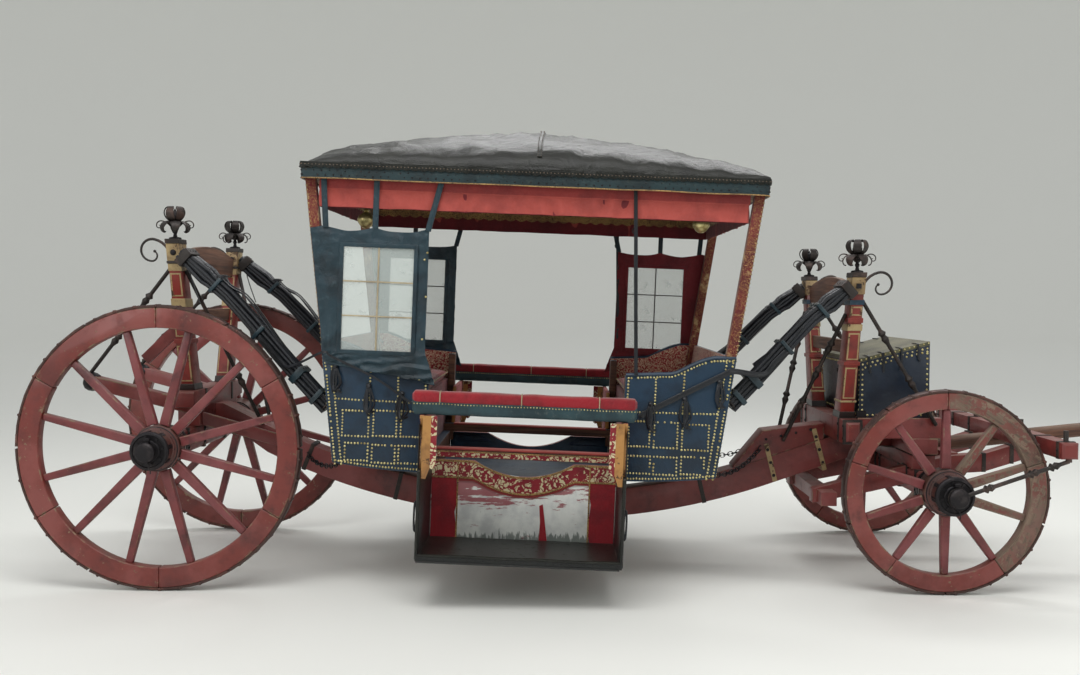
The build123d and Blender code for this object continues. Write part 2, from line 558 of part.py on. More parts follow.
def make_body():
    def skin(side, end):
        # A lower quarter: scooped along its top, bowed along its bottom.
        corner = lambda zz: body_half_long + body_lean * zz
        (rim_drop,), (scoop_x, scoop_drop), (foot_x, foot_rise) = quarter_scoop
        pts = [(end * door_half, 0), (end * quarter_mid, quarter_sag, end * corner(end_rise), end_rise),
               (end * corner(elbow_corner_z), elbow_corner_z),
               (end * (corner(elbow_corner_z) - quarter_scoop_out), elbow_corner_z + rim_drop),
               (end * scoop_x, elbow_corner_z + scoop_drop, end * foot_x, elbow_door_z + foot_rise),
               (end * door_half, elbow_door_z)]
        y0, y1 = side * (skin_out_y - skin_thick), side * skin_out_y
        return side_plate(pts, min(y0, y1), max(y0, y1))

    def place(*shapes):
        return [body_place * s for s in shapes]

    inside = skin_out_y - skin_thick
    quarters = {side: [skin(side, -1), skin(side, 1)] for side in (-1, 1)}
    for side, name in ((-1, "right"), (1, "left")):
        save(f"quarter_panels_{name}", *place(*quarters[side]))
    pillars, ends = [], []
    for end in (-1, 1):
        lean = lambda zz: end * (body_half_long + body_lean * zz)
        pts = [(lean(0), end_rise), (lean(frame_z), frame_z), (lean(frame_z) - end * pillar_size, frame_z),
               (lean(0) - end * pillar_size, end_rise)]
        for s in (-1, 1):
            y0, y1 = sorted((s * skin_out_y, s * (skin_out_y - pillar_size)))
            pillar = side_plate(pts, y0, y1)
            for quarter in quarters[s]:
                pillar = pillar - quarter
            pillars.append(max(pillar.solids(), key=lambda t: t.volume))
        pts = [(lean(end_rise), end_rise), (lean(elbow_corner_z), elbow_corner_z),
               (lean(elbow_corner_z) - end * skin_thick, elbow_corner_z),
               (lean(end_rise) - end * skin_thick, end_rise)]
        ends.append(side_plate(pts, pillar_size - skin_out_y, skin_out_y - pillar_size))
    # Floor: raised under the benches, sunk between the two boots, with a threshold and two door
    # posts at each doorway.
    reach = body_half_long - pillar_size
    floor_top = end_rise + floor_thick
    floor = block(-door_half, door_half, -boot_back_y, boot_back_y, well_floor_z,
                  well_floor_z + well_floor_thick)
    for end in (-1, 1):
        floor += block(end * door_half, end * reach, -inside, inside, end_rise, floor_top)
        floor += block(end * reach, end * (reach + 28), pillar_size - skin_out_y, skin_out_y - pillar_size,
                       end_rise, sill_high)
        floor += block(end * door_half, end * (door_half + 20), -boot_back_y, boot_back_y, well_floor_z,
                       floor_top)
        for s in (-1, 1):
            floor += block(end * (door_half - 20), end * reach, s * (boot_back_y - sill_wide),
                           s * boot_back_y,
                           0, floor_top)
            floor += block(end * door_half, end * (door_half + jamb_long), s * (inside - jamb_wide),
                           s * inside,
                           floor_top, elbow_door_z - 10)
    for s in (-1, 1):
        floor += block(-door_half - jamb_long, door_half + jamb_long, s * (boot_back_y - threshold_wide),
                       s * boot_back_y, floor_top, threshold_top)
    floor = floor - ends[0] - ends[1] - pillars[0] - pillars[1] - pillars[2] - pillars[3]
    held["body"] = Compound(children=place(*pillars, *ends))
    save("corner_pillars", *place(*pillars))
    save("end_panels", *place(*ends))
    save("body_floor", *place(max(floor.solids(), key=lambda t: t.volume)))

    # Roof: an oblong frame, the leather band nailed round it, the valance that hangs inside the
    # pillars, arched bows, and the domed cover.
    top = frame_z + frame_high
    lx, ly = eave_half_long - band_thick, eave_half_wide - band_thick
    eave = top + eave_rise
    cornice = ring(lx, ly, frame_wide, frame_z, top)
    band = ring(eave_half_long, eave_half_wide, band_thick, eave - band_high, eave)
    pillar_in = body_half_long + body_lean * (frame_z - valance_high) - pillar_size
    valance = ring(pillar_in - 2, skin_out_y, valance_thick, frame_z - valance_high, frame_z)
    save("roof_band", *place(band))
    save("valance", *place(valance))

    def dome(inset):
        # The roof's outside, drawn in by the inset: cross sections set along the body.
        low = eave if not inset else eave - roof_tuck - inset
        halves = list(roof_rise_along)
        stations = [(-u, s) for u, s in reversed(halves)] + halves[1:]
        wires = []
        for u, share in stations:
            rise = (roof_crown - roof_base) * share
            side = [((eave_half_wide - inset) * v, roof_base + rise * c - inset) for v,
                    c in roof_rise_across]
            across = [(y, z) for y, z in side] + [(-y, z) for y, z in reversed(side[:-1])]
            across = [(eave_half_wide - inset, low)] + across + [(inset - eave_half_wide, low)]
            wires.append(Wire.make_polygon([Vector((eave_half_long - inset) * u, y, z) for y, z in across]))
        return Solid.make_loft(wires, ruled=True)

    under = dome(roof_thick)
    cover = dome(0) - under
    hollow = dome(roof_thick + bow_high)
    bows = cornice
    for x in bow_places:
        slab = block(x - bow_wide / 2, x + bow_wide / 2, -eave_half_wide, eave_half_wide, frame_z,
                     roof_crown)
        bows += (under & slab) - hollow
    save("roof_frame", *place(max(bows.solids(), key=lambda t: t.volume)))
    save("roof_cover", *place(max(cover.solids(), key=lambda t: t.volume)))

    curtains, glasses = [], []
    for side, end in ((-1, -1), (1, -1), (1, 1)):
        ya, yb = sorted((side * (skin_out_y + curtain_gap),
                         side * (skin_out_y + curtain_gap + curtain_thick)))
        lean = lambda zz: end * (body_half_long + body_lean * zz - curtain_back)
        tip_x, tip_z = curtain_tip
        sag_x, sag_drop = curtain_sag
        pts = [(end * tip_x, tip_z), (end * curtain_door_edge, curtain_elbow),
               (end * curtain_door_edge, curtain_top),
               (end * (pane_near + pane_far) / 2, curtain_top - curtain_arch, lean(curtain_top),
                curtain_top),
               (lean(curtain_bottom), curtain_bottom), (end * sag_x, curtain_bottom - sag_drop)]
        sheet = side_plate(pts, ya, yb)
        wide = sorted((end * pane_near, end * pane_far))
        sheet -= block(*wide, ya - 1, yb + 1, pane_low, pane_high)
        mid = end * (pane_near + pane_far) / 2
        sheet += block(mid - muntin / 2, mid + muntin / 2, ya, yb, pane_low, pane_high)
        for k in (1, 2):
            zz = pane_low + (pane_high - pane_low) * k / 3
            sheet += block(*wide, ya, yb, zz - muntin / 2, zz + muntin / 2)
        for x in curtain_straps:
            sheet += block(end * x - strap_tab / 2, end * x + strap_tab / 2, ya, yb,
                           curtain_top - curtain_lap, frame_z)
        yc = (ya + yb) / 2
        pane = block(*wide, yc - glass_thick / 2, yc + glass_thick / 2, pane_low, pane_high)
        sheet -= pane
        curtains.append(sheet)
        glasses.append(pane)
    save("curtain_panels", *place(*curtains))
    save("window_glass", *place(*glasses))

    seats, cushions = [], []
    for end in (-1, 1):
        x1 = end * (body_half_long - pillar_size - seat_back_gap)
        x0 = x1 - end * seat_depth
        half = skin_out_y - pillar_size - seat_side_gap
        z0, z1 = floor_top, floor_top + seat_high
        seats.append(block(x0, x1, -half, half, z0, z1))
        cushions.append(block(x0, x1, -half, half, z1, z1 + cushion_high))
    save("bench_boxes", *place(*seats))
    save("bench_cushions", *place(*cushions))

    boards, trays, backs, bars = [], [], [], []
    for s in (-1, 1):
        y_in, y_out = boot_back_y + back_panel_thick, boot_out_y
        for end in (-1, 1):
            x0, x1 = sorted((end * (door_half - boot_board_thick), end * door_half))
            foot_in, belly_in, belly_up, top_in = boot_board_curve
            pts = [(s * y_in, boot_board_low), (s * (y_out - foot_in), boot_board_low),
                   (s * (y_out - belly_in), boot_board_low + belly_up, s * (y_out - top_in),
                    boot_board_high - bar_high / 2),
                   (s * (y_out - top_in), bar_z - bar_high / 2), (s * y_in, bar_z - bar_high / 2)]
            boards.append(cross_plate(pts, x0, x1))
        outer = block(-door_half, door_half, s * y_in, s * y_out, tray_bottom, boot_board_low)
        hollow = block(-door_half + tray_thick, door_half - tray_thick, s * (y_in - 50), s * (y_out + 50),
                       tray_bottom + tray_thick, boot_board_low + 1)
        lip = block(-door_half, door_half, s * (y_out - tray_thick), s * y_out, tray_bottom,
                    tray_bottom + tray_lip)
        trays.append((outer - hollow) + lip)
        back = side_plate([(-door_half, tray_bottom), (door_half, tray_bottom), (door_half, dip_top),
                           (dip_half, dip_top), (0, dip_top - dip_deep, -dip_half, dip_top),
                           (-door_half, dip_top)],
                          *sorted((s * boot_back_y, s * y_in)))
        backs.append(back)
        bars.append(block(-bar_half, bar_half, s * (boot_out_y - bar_deep), s * boot_out_y,
                          bar_z - bar_high / 2, bar_z + bar_high / 2))
    bars = [fillet(b.edges().filter_by(Axis.X), bar_round) for b in bars]
    save("boot_side_boards", *place(*boards))
    save("boot_trays", *place(*trays))
    save("boot_back_panels", *place(*backs))
    save("door_bars", *place(*bars))


def make_braces(held):
    # held gives the posts of each end and the body's corners, which the straps butt against.
    straps, keeps = [], []
    rows = [(hind_post_x, hind_post_top, -1), (fore_transom_x, fore_post_top, 1)]
    for x, top_z, end in rows:
        for s in (-1, 1):
            for k in (-1, 0, 1):
                keeps.append((held[end], held["body"]))
                a = Vector(x - end * (post_top_size[0] / 2 + brace_off), s * post_top_y + k * strap_apart,
                           top_z - brace_drop)
                foot_out, foot_y, foot_z = brace_foot[end]
                b = Vector(*body_point(end * (body_half_long + foot_out), s * foot_y + k * strap_apart,
                                       foot_z))
                along = (b - a).normalized()
                level = Vector(0, 0, 1).cross(along).normalized()
                up = along.cross(level)
                sections = []
                for share, lift in brace_bow:
                    middle = a + (b - a) * share + up * lift
                    sections.append(Plane(middle, x_dir=level, z_dir=along) * Rectangle(strap_thick,
                            strap_wide))
                straps.append(loft(sections, ruled=True))
    save("braces", *[max((strap - keep[0] - keep[1]).solids(), key=lambda t: t.volume)
                     for strap, keep in zip(straps, keeps)])


make_wheels()
make_carriage()
make_fore_carriage()
make_body()
make_braces(held)
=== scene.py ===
import json
import random
from math import asin, atan2, copysign, cos, degrees, exp, hypot, pi, radians, sin, sqrt

import bmesh
import bpy
from mathutils import Matrix, Vector, noise

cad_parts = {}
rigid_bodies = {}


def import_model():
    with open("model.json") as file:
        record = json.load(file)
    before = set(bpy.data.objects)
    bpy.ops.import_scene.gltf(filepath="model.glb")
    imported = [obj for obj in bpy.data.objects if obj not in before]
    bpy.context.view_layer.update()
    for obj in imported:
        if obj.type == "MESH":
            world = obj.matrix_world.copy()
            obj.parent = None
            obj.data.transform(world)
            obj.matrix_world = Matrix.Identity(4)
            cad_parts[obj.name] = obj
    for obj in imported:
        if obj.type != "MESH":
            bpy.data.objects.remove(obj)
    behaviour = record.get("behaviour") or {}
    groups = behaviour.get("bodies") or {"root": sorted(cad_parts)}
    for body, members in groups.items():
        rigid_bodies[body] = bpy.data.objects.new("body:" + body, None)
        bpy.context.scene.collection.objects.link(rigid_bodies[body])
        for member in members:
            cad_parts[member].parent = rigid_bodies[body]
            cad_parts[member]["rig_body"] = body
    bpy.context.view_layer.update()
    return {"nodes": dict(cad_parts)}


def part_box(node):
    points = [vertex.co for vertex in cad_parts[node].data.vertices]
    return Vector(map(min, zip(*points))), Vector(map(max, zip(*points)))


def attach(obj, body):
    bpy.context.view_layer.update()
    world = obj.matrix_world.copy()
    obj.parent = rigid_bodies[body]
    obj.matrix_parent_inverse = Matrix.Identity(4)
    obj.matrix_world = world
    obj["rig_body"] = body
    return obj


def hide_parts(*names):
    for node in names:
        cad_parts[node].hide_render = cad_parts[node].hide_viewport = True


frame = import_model()
nodeObjects = frame["nodes"]
random.seed(17)

# Stations are in mm along the coach. Their zero comes from the near front wheel's place in the frame.
wheelLow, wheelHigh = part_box("wheel_front_right_tyre")
stationShift = 2.120 - (wheelLow[0] + wheelHigh[0]) / 2
bodyPlace = {"x": -165, "z": 632, "pitch": 2.2, "halfLong": 1035, "lean": 0.128}
level, plumb = Vector((0, 1, 0)), Vector((0, 0, 1))


def station(x, y, z):
    return Vector((x / 1000 - stationShift, y / 1000, z / 1000))


def onBody(x, y, z):  # a point in the hung body's own mm
    a = radians(bodyPlace["pitch"])
    return station(bodyPlace["x"] + x * cos(a) + z * sin(a), y, bodyPlace["z"] - x * sin(a) + z * cos(a))


bodyX = (onBody(1000, 0, 0) - onBody(0, 0, 0)).normalized()
bodyZ = (onBody(0, 0, 1000) - onBody(0, 0, 0)).normalized()


def rgb(r, g, b):  # from the 0 to 255 of a colour card
    def lin(c):
        c /= 255
        return c / 12.92 if c <= 0.04045 else ((c + 0.055) / 1.055) ** 2.4
    return (lin(r), lin(g), lin(b), 1.0)


def darker(colour, share):
    return tuple(c * share for c in rgb(*colour)[:3]) + (1,)


def addObject(name, data):
    made = bpy.data.objects.new(name, data)
    bpy.context.scene.collection.objects.link(made)
    return made


def meshFrom(name, verts, faces):
    mesh = bpy.data.meshes.new(name)
    mesh.from_pydata([tuple(v) for v in verts], [], faces)
    return mesh


# camera, lamps and floor
photoView = {"focalPx": 1056, "widePx": 1080, "sensor": 36, "yaw": 0.76, "pitch": 2.14, "roll": 0.12,
             "distance": 6.48, "eye": 1.6}
lamps = {"ceilingFront": ((-1.5, -3.6, 6.4), (0, 0, 0.8), (6, 2.6), 232),  # place, target, size, watts
         "ceilingBack": ((0.6, 3.2, 6.4), (0, 0, 1.4), (7, 1.1), 190),
         "sideFill": ((-6.5, -5.5, 3.2), (0, 0, 0.9), (3, 2), 84),
         "sideFillFront": ((6.5, -5.0, 3.0), (0.5, 0, 0.9), (3, 2), 84)}
studio = {"air": (0.95, 0.97, 1.0, 1), "airStrength": 0.68, "paint": (236, 236, 230), "flatReach": 34,
          "sweep": 22, "edge": (57, 40), "sides": 64, "below": 0.003}


def makeCamera():
    v = photoView
    yaw, pitch, roll = (radians(v[k]) for k in ("yaw", "pitch", "roll"))
    ahead = Vector((-sin(yaw) * cos(pitch), cos(yaw) * cos(pitch), -sin(pitch)))
    right = Vector((cos(yaw), sin(yaw), 0))
    up = right.cross(ahead)
    right, up = cos(roll) * right + sin(roll) * up, cos(roll) * up - sin(roll) * right
    camera = addObject("photoCamera", bpy.data.cameras.new("photoCamera"))
    camera.data.sensor_width = v["sensor"]
    camera.data.lens = v["focalPx"] / v["widePx"] * v["sensor"]
    camera.data.clip_end = 100
    turn = Matrix((right, up, -ahead)).transposed().to_4x4()
    camera.matrix_world = Matrix.Translation((-stationShift, -v["distance"], v["eye"])) @ turn
    bpy.context.scene.camera = camera


def makeStudio():
    scene = bpy.context.scene
    scene.view_settings.view_transform = "Standard"
    for name, (place, target, size, watts) in lamps.items():
        lamp = addObject(name, bpy.data.lights.new(name, "AREA"))
        lamp.data.shape, lamp.data.size, lamp.data.size_y, lamp.data.energy = "RECTANGLE", *size, watts
        lamp.location = place
        lamp.rotation_euler = (Vector(target) - Vector(place)).to_track_quat("-Z", "Y").to_euler()
    scene.world = bpy.data.worlds.new("paleRoom")
    scene.world.use_nodes = True
    air = scene.world.node_tree.nodes["Background"].inputs
    air[0].default_value, air[1].default_value = studio["air"], studio["airStrength"]
    # a wide floor that sweeps up far away on every side
    n, sweep = studio["sides"], studio["sweep"]
    rings = [(0.001, 0)] + [(studio["flatReach"] + sweep * sin(pi / 28 * k),
                             sweep - sweep * cos(pi / 28 * k))
                            for k in range(15)] + [studio["edge"]]
    verts = [(r * cos(2 * pi * q / n), r * sin(2 * pi * q / n), z - studio["below"])
             for r, z in rings for q in range(n)]
    mesh = meshFrom("studioFloor", verts, [(i * n + q, i * n + (q + 1) % n, i * n + n + (q + 1) % n,
                                            i * n + n + q)
                                           for i in range(len(rings) - 1) for q in range(n)])
    mesh.shade_smooth()
    floor = addObject("studioFloor", mesh)
    material = bpy.data.materials.new("floorPaint")
    material.use_nodes = True
    shader = material.node_tree.nodes["Principled BSDF"].inputs
    shader["Base Color"].default_value = rgb(*studio["paint"])
    shader["Roughness"].default_value = 0.5
    mesh.materials.append(material)


groups, materials = {}, {}


class Nodes:  # adds nodes to one tree; an input takes a value, a socket, or a node for its first output
    def __init__(self, tree):
        self.tree = tree

    def feed(self, socket, value):
        if isinstance(value, bpy.types.Node):
            value = value.outputs[0]
        if isinstance(value, bpy.types.NodeSocket):
            self.tree.links.new(value, socket)
        elif isinstance(value, tuple) and socket.type == "RGBA" and len(value) == 3:
            socket.default_value = rgb(*value)
        else:
            socket.default_value = value

    def put(self, kind, given=None, **settings):
        made = self.tree.nodes.new(kind if "Node" in kind else "ShaderNode" + kind)
        for key, value in settings.items():
            setattr(made, key, value)
        for key, value in (given or {}).items():
            same = [s for s in made.inputs if s.name == key] or [made.inputs[key]]
            self.feed(next((s for s in same if s.enabled), same[0]), value)
        return made

    def calc(self, operation, *values, clamp=False):
        return self.put("Math", dict(enumerate(values)), operation=operation, use_clamp=clamp)

    def times(self, a, b):
        return self.calc("MULTIPLY", a, b)

    def plus(self, a, b):
        return self.calc("ADD", a, b)

    def minus(self, a, b):
        return self.calc("SUBTRACT", a, b)

    def mix(self, share, a, b):
        return self.put("Mix", {0: share, 6: a, 7: b}, data_type="RGBA").outputs[2]

    def ramp(self, value, low, high, outLow=0.0, outHigh=1.0):
        return self.put("MapRange", {0: value, 1: low, 2: high, 3: outLow, 4: outHigh},
                        interpolation_type="SMOOTHSTEP")

    def noise(self, where, scale, detail, rough, warp=0.0):
        return self.put("TexNoise", {0: where, 2: scale, 3: detail, 4: rough, 8: warp})

    def stretch(self, where, factors):
        return self.put("VectorMath", {0: where, 1: factors}, operation="MULTIPLY")

    def scaled(self, where, amount):
        return self.put("VectorMath", {0: where, 3: amount}, operation="SCALE")


class NodeGroup(Nodes):  # sockets are named with a default, or with their kind
    def __init__(self, title, inputs, outputs, kind="ShaderNodeTree"):
        super().__init__(bpy.data.node_groups.new(title, kind))
        for way, sockets in (("INPUT", inputs), ("OUTPUT", outputs)):
            for label, value in sockets.items():
                word = value if isinstance(value, str) else "Color" if isinstance(value, tuple) else "Float"
                socket = self.tree.interface.new_socket(label, in_out=way, socket_type="NodeSocket" + word)
                if word != value:
                    socket.default_value = value
        self.inside = self.put("NodeGroupInput").outputs
        self.result = self.put("NodeGroupOutput").inputs
        groups[title] = self.tree

    def __getitem__(self, label):
        return self.inside[label]

    def give(self, *values):
        for socket, value in zip(self.result, values):
            self.feed(socket, value)


class Finish(Nodes):  # a material, its shader and the piece's own coordinates
    def __init__(self, name):
        material = materials[name] = bpy.data.materials.new(name)
        material.use_nodes = True
        super().__init__(material.node_tree)
        self.tree.nodes.clear()
        self.shader = self.put("BsdfPrincipled")
        self.put("OutputMaterial", {0: self.shader})
        self.here = self.put("TexCoord").outputs["Object"]

    def look(self, given):
        for key, value in given.items():
            self.feed(self.shader.inputs[key], value)

    def group(self, title, given):
        return self.put("Group", {"Vector": self.here, **given}, node_tree=groups[title])

    def blotch(self, scale, low, high):
        return self.group("blotch", {"Scale": scale, "Low": low, "High": high})

    def tint(self, mask, strength, base, over):
        return self.mix(self.times(mask, strength), base, over)

    def worn(self, tone, bare, given):
        edge = self.put("Attribute", attribute_name="edge").outputs["Fac"]
        return self.group("edgeWear", {"Color": tone, "Bare": bare, "Edge": edge, **given})

    def dusty(self, tone, amount):
        self.look({"Base Color": self.group("dustVeil", {"Color": tone, "Amount": amount})})

    def bump(self, height, strength, distance):
        self.look({"Normal": self.put("Bump", {0: strength, 1: distance, "Height": height})})


def makeShaderGroups():
    # soft-edged patches
    g = NodeGroup("blotch", {"Vector": "Vector", "Scale": 3, "Low": 0.45, "High": 0.6}, {"Mask": "Float"})
    g.give(g.ramp(g.noise(g["Vector"], g["Scale"], 6.0, 0.62), g["Low"], g["High"]))
    # paint rubbed through at the edges, and chipped elsewhere
    g = NodeGroup("edgeWear", {"Color": "Color", "Bare": "Color", "Edge": 0, "Vector": "Vector", "Scale": 14,
                               "Amount": 0.6, "Chips": 0.3}, {"Color": "Color", "Mask": "Float"})
    broad, small = g.noise(g["Vector"], g["Scale"], 7.0, 0.7), g.noise(g["Vector"], 46.0, 5.0, 0.7)
    edge = g.ramp(g.plus(g.times(g.times(g["Edge"], g["Amount"]), 0.55), broad), 0.74, 0.86)
    chip = g.plus(g.times(broad, 0.55), g.times(small, 0.45))
    mask = g.calc("MAXIMUM", edge, g.ramp(g.plus(chip, g.times(g["Chips"], 0.2)), 0.665, 0.7))
    g.give(g.mix(mask, g["Color"], g["Bare"]), mask)
    # wood: streaks along the u axis of a piece's grain map
    g = NodeGroup("woodGrain", {"Vector": "Vector", "Scale": 1}, {"Grain": "Float", "Height": "Float"})
    where = g.scaled(g.stretch(g["Vector"], (2.2, 46.0, 46.0)), g["Scale"])
    streak, pores = g.noise(where, 1.0, 7.0, 0.6, 0.5), g.noise(where, 5.0, 4.0, 0.6)
    g.give(g.ramp(streak, 0.3, 0.7), g.plus(g.times(streak, 0.7), g.times(pores, 0.3)))
    # leather: fine pebbling over broad folds
    g = NodeGroup("leatherGrain", {"Vector": "Vector", "Scale": 1}, {"Height": "Float"})
    where = g.scaled(g["Vector"], g["Scale"])
    pebble = g.put("TexVoronoi", {0: where, 2: 260.0})
    g.give(g.plus(g.times(pebble, 0.16), g.times(g.noise(where, 7.0, 5.0, 0.55, 1.2), 1.3)))
    # pale dust where a face looks up
    g = NodeGroup("dustVeil", {"Color": "Color", "Dust": rgb(150, 140, 124), "Amount": 0.3,
                               "Vector": "Vector"}, {"Color": "Color"})
    facing = g.put("SeparateXYZ", {0: g.put("NewGeometry").outputs["Normal"]}).outputs[2]
    cloud = g.ramp(g.noise(g["Vector"], 6.0, 5.0, 0.6), 0.35, 0.65, 0.4, 1.0)
    mask = g.times(g.times(g.ramp(facing, 0.2, 1.0), cloud), g["Amount"])
    g.give(g.mix(mask, g["Color"], g["Dust"]))
    # cloth: crossing threads
    g = NodeGroup("clothWeave", {"Vector": "Vector", "Threads": 900}, {"Height": "Float", "Slub": "Float"})
    across, along = (g.put("TexWave", {0: g["Vector"], 1: g["Threads"], 2: 0.6},
                           bands_direction=d).outputs[1]
                     for d in ("X", "Z"))
    g.give(g.calc("MAXIMUM", across, along), g.noise(g["Vector"], 90.0, 4.0, 0.6))
    # a generic figured pattern of rings and sprigs
    g = NodeGroup("scrollwork", {"Vector": "Vector", "Scale": 9, "Fill": 0.5},
                  {"Figure": "Float", "Line": "Float"})
    where = g.scaled(g["Vector"], g["Scale"])
    warp = g.noise(where, 1.6, 2.0, 0.5).outputs[1]
    moved = g.put("VectorMath", {0: warp, 1: where}, operation="ADD")
    rings = g.calc("SINE", g.times(g.put("TexVoronoi", {0: moved, 2: 1.0}), 19.0))
    sprig = g.put("TexVoronoi", {0: moved, 2: 3.4}, feature="DISTANCE_TO_EDGE")
    figure = g.plus(g.times(rings, 0.35), g.ramp(sprig, 0.02, 0.16, 0.0, 0.8))
    line = g.calc("ABSOLUTE", g.minus(figure, g["Fill"]))
    g.give(g.ramp(figure, g["Fill"], g.plus(g["Fill"], 0.12)), g.ramp(line, 0.0, 0.1, 1.0, 0.0))


def paintedWood(name, paint, shade, bare, wear=0.7, chips=0.3, rough=0.42, bloom=None):
    m = Finish(name)
    grain = m.group("woodGrain", {"Vector": m.put("UVMap", uv_map="grain")})
    stains = m.blotch(17.0, 0.5, 0.72)
    tone = m.tint(stains, 0.45, m.tint(m.blotch(4.0, 0.42, 0.66), 0.7, paint, shade), shade)
    if bloom:
        tone = m.tint(m.blotch(2.1, 0.46, 0.62), 0.7, tone, bloom)
    tone = m.tint(m.blotch(8.0, 0.55, 0.75), 0.5, tone, darker(shade, 0.4))
    worn = m.worn(tone, m.mix(grain, bare, darker(bare, 0.45)), {"Amount": wear, "Chips": chips})
    m.dusty(worn, 0.18)
    shine = m.ramp(stains, 0, 1, rough, rough + 0.16)
    m.look({"Roughness": m.calc("ADD", m.times(worn.outputs[1], 0.3), shine, clamp=True)})
    m.bump(m.minus(m.times(grain.outputs["Height"], 0.6), m.times(worn.outputs[1], 0.5)), 0.5, 0.0022)


def bareWood(name, light, dark, rough=0.62):
    m = Finish(name)
    grain = m.group("woodGrain", {"Vector": m.put("UVMap", uv_map="grain")})
    m.dusty(m.tint(m.blotch(5.0, 0.4, 0.7), 0.5, m.mix(grain, light, dark), dark), 0.3)
    m.look({"Roughness": m.ramp(grain, 0, 1, rough, rough + 0.12)})
    m.bump(grain.outputs["Height"], 0.6, 0.0025)


def wroughtIron(name, base, rust, bright, rough=0.5, rusty=0.35, metal=0.75):
    m = Finish(name)
    patches, pits = m.blotch(9.0, 0.48, 0.68), m.noise(m.here, 120.0, 6.0, 0.7)
    m.look({"Base Color": m.worn(m.tint(patches, rusty, base, rust), bright,
                                 {"Amount": 0.45, "Chips": 0.05, "Scale": 30.0}),
            "Metallic": m.ramp(patches, 0, 1, metal, metal * 0.35),
            "Roughness": m.ramp(pits, 0.3, 0.7, rough - 0.08, rough + 0.14)})
    m.bump(pits, 0.45, 0.0015)


def oldLeather(name, base, shade, worn, rough=0.45, gloss=0.4, scale=1.0, wear=0.5, dust=0.25, depth=0.004,
               coat=0.0):
    m = Finish(name)
    grain, scuffs = m.group("leatherGrain", {"Scale": scale}), m.blotch(26.0, 0.56, 0.72)
    tone = m.tint(scuffs, wear * 0.5, m.tint(m.blotch(5.5, 0.42, 0.64), 0.75, base, shade), worn)
    m.dusty(m.worn(tone, worn, {"Amount": wear, "Chips": 0.0, "Scale": 20.0}), dust)
    m.look({"Roughness": m.ramp(scuffs, 0, 1, rough, min(rough + 0.25, 0.95)), "Specular IOR Level": gloss})
    m.bump(grain, 0.7, depth)
    if coat:
        m.look({"Coat Weight": coat, "Coat Roughness": 0.28})


def wovenCloth(name, base, shade, thread, sheen=0.3, rough=0.85, pattern=None, scale=9.0, fill=0.5, gilt=0.0,
               bare=None, bareShare=0.0, threads=900.0):
    m = Finish(name)
    weave = m.group("clothWeave", {"Threads": threads})
    tone = m.tint(weave, 0.22, m.tint(m.blotch(7.0, 0.4, 0.68), 0.8, base, shade), thread)
    height = m.times(weave, 0.3)
    if pattern:
        figure = m.group("scrollwork", {"Scale": scale, "Fill": fill})
        tone = m.tint(figure.outputs["Line"], 0.5, m.mix(figure, tone, pattern), shade)
        height = m.plus(height, m.times(figure, 0.8))
        if gilt:
            m.look({"Metallic": m.times(figure, gilt)})
    if bare:
        tone = m.mix(m.blotch(11.0, 0.72 - 0.4 * bareShare, 0.8 - 0.36 * bareShare), tone, bare)
    m.dusty(tone, 0.12)
    m.look({"Roughness": m.ramp(weave.outputs["Slub"], 0.3, 0.7, rough - 0.08, rough + 0.08),
            "Sheen Weight": sheen, "Sheen Roughness": 0.4})
    m.bump(height, 0.5, 0.0016)


def tornSilk(name):  # the silvery ground left where the red pile is worn away
    m = Finish(name)
    x, _, z = m.put("SeparateXYZ", {0: m.here}).outputs
    field = m.noise(m.stretch(m.here, (6.0, 6.0, 34.0)), 1.3, 9.0, 0.68)
    edge = m.times(m.ramp(z, 0.34, 0.58), m.plus(m.ramp(x, -0.9, -1.6, 0.0, 0.12), 0.17))
    red = m.ramp(m.plus(edge, field), 0.635, 0.685)
    moss = m.noise(m.stretch(m.here, (60.0, 60.0, 9.0)), 1.0, 7.0, 0.6)
    green = m.ramp(m.plus(moss, m.ramp(z, 0.235, 0.33, 0.3, 0.0)), 0.66, 0.74)
    ground = m.mix(m.blotch(6.0, 0.4, 0.7), (232, 234, 228), (198, 200, 198))
    m.look({"Base Color": m.tint(green, 0.75, m.tint(red, 0.85, ground, (142, 28, 46)), (70, 84, 76)),
            "Roughness": 0.6, "Sheen Weight": 0.15})
    m.bump(m.plus(field, m.times(red, 0.4)), 0.4, 0.002)


def brassMetal(name, base, dark, rough=0.35):
    m = Finish(name)
    tarnish = m.blotch(30.0, 0.4, 0.7)
    m.look({"Base Color": m.mix(tarnish, base, dark), "Metallic": 0.85,
            "Roughness": m.ramp(tarnish, 0, 1, rough, rough + 0.25)})
    m.bump(m.noise(m.here, 200.0, 3.0, 0.5), 0.2, 0.0006)


def oldGlass(name):
    m = Finish(name)
    smear = m.blotch(14.0, 0.5, 0.8)
    m.look({"Base Color": m.mix(smear, (222, 232, 228), (196, 206, 202)),
            "Roughness": m.ramp(smear, 0, 1, 0.03, 0.14),
            "Alpha": m.ramp(smear, 0, 1, 0.3, 0.42), "IOR": 1.5})
    m.bump(m.noise(m.here, 9.0, 3.0, 0.5), 0.25, 0.003)


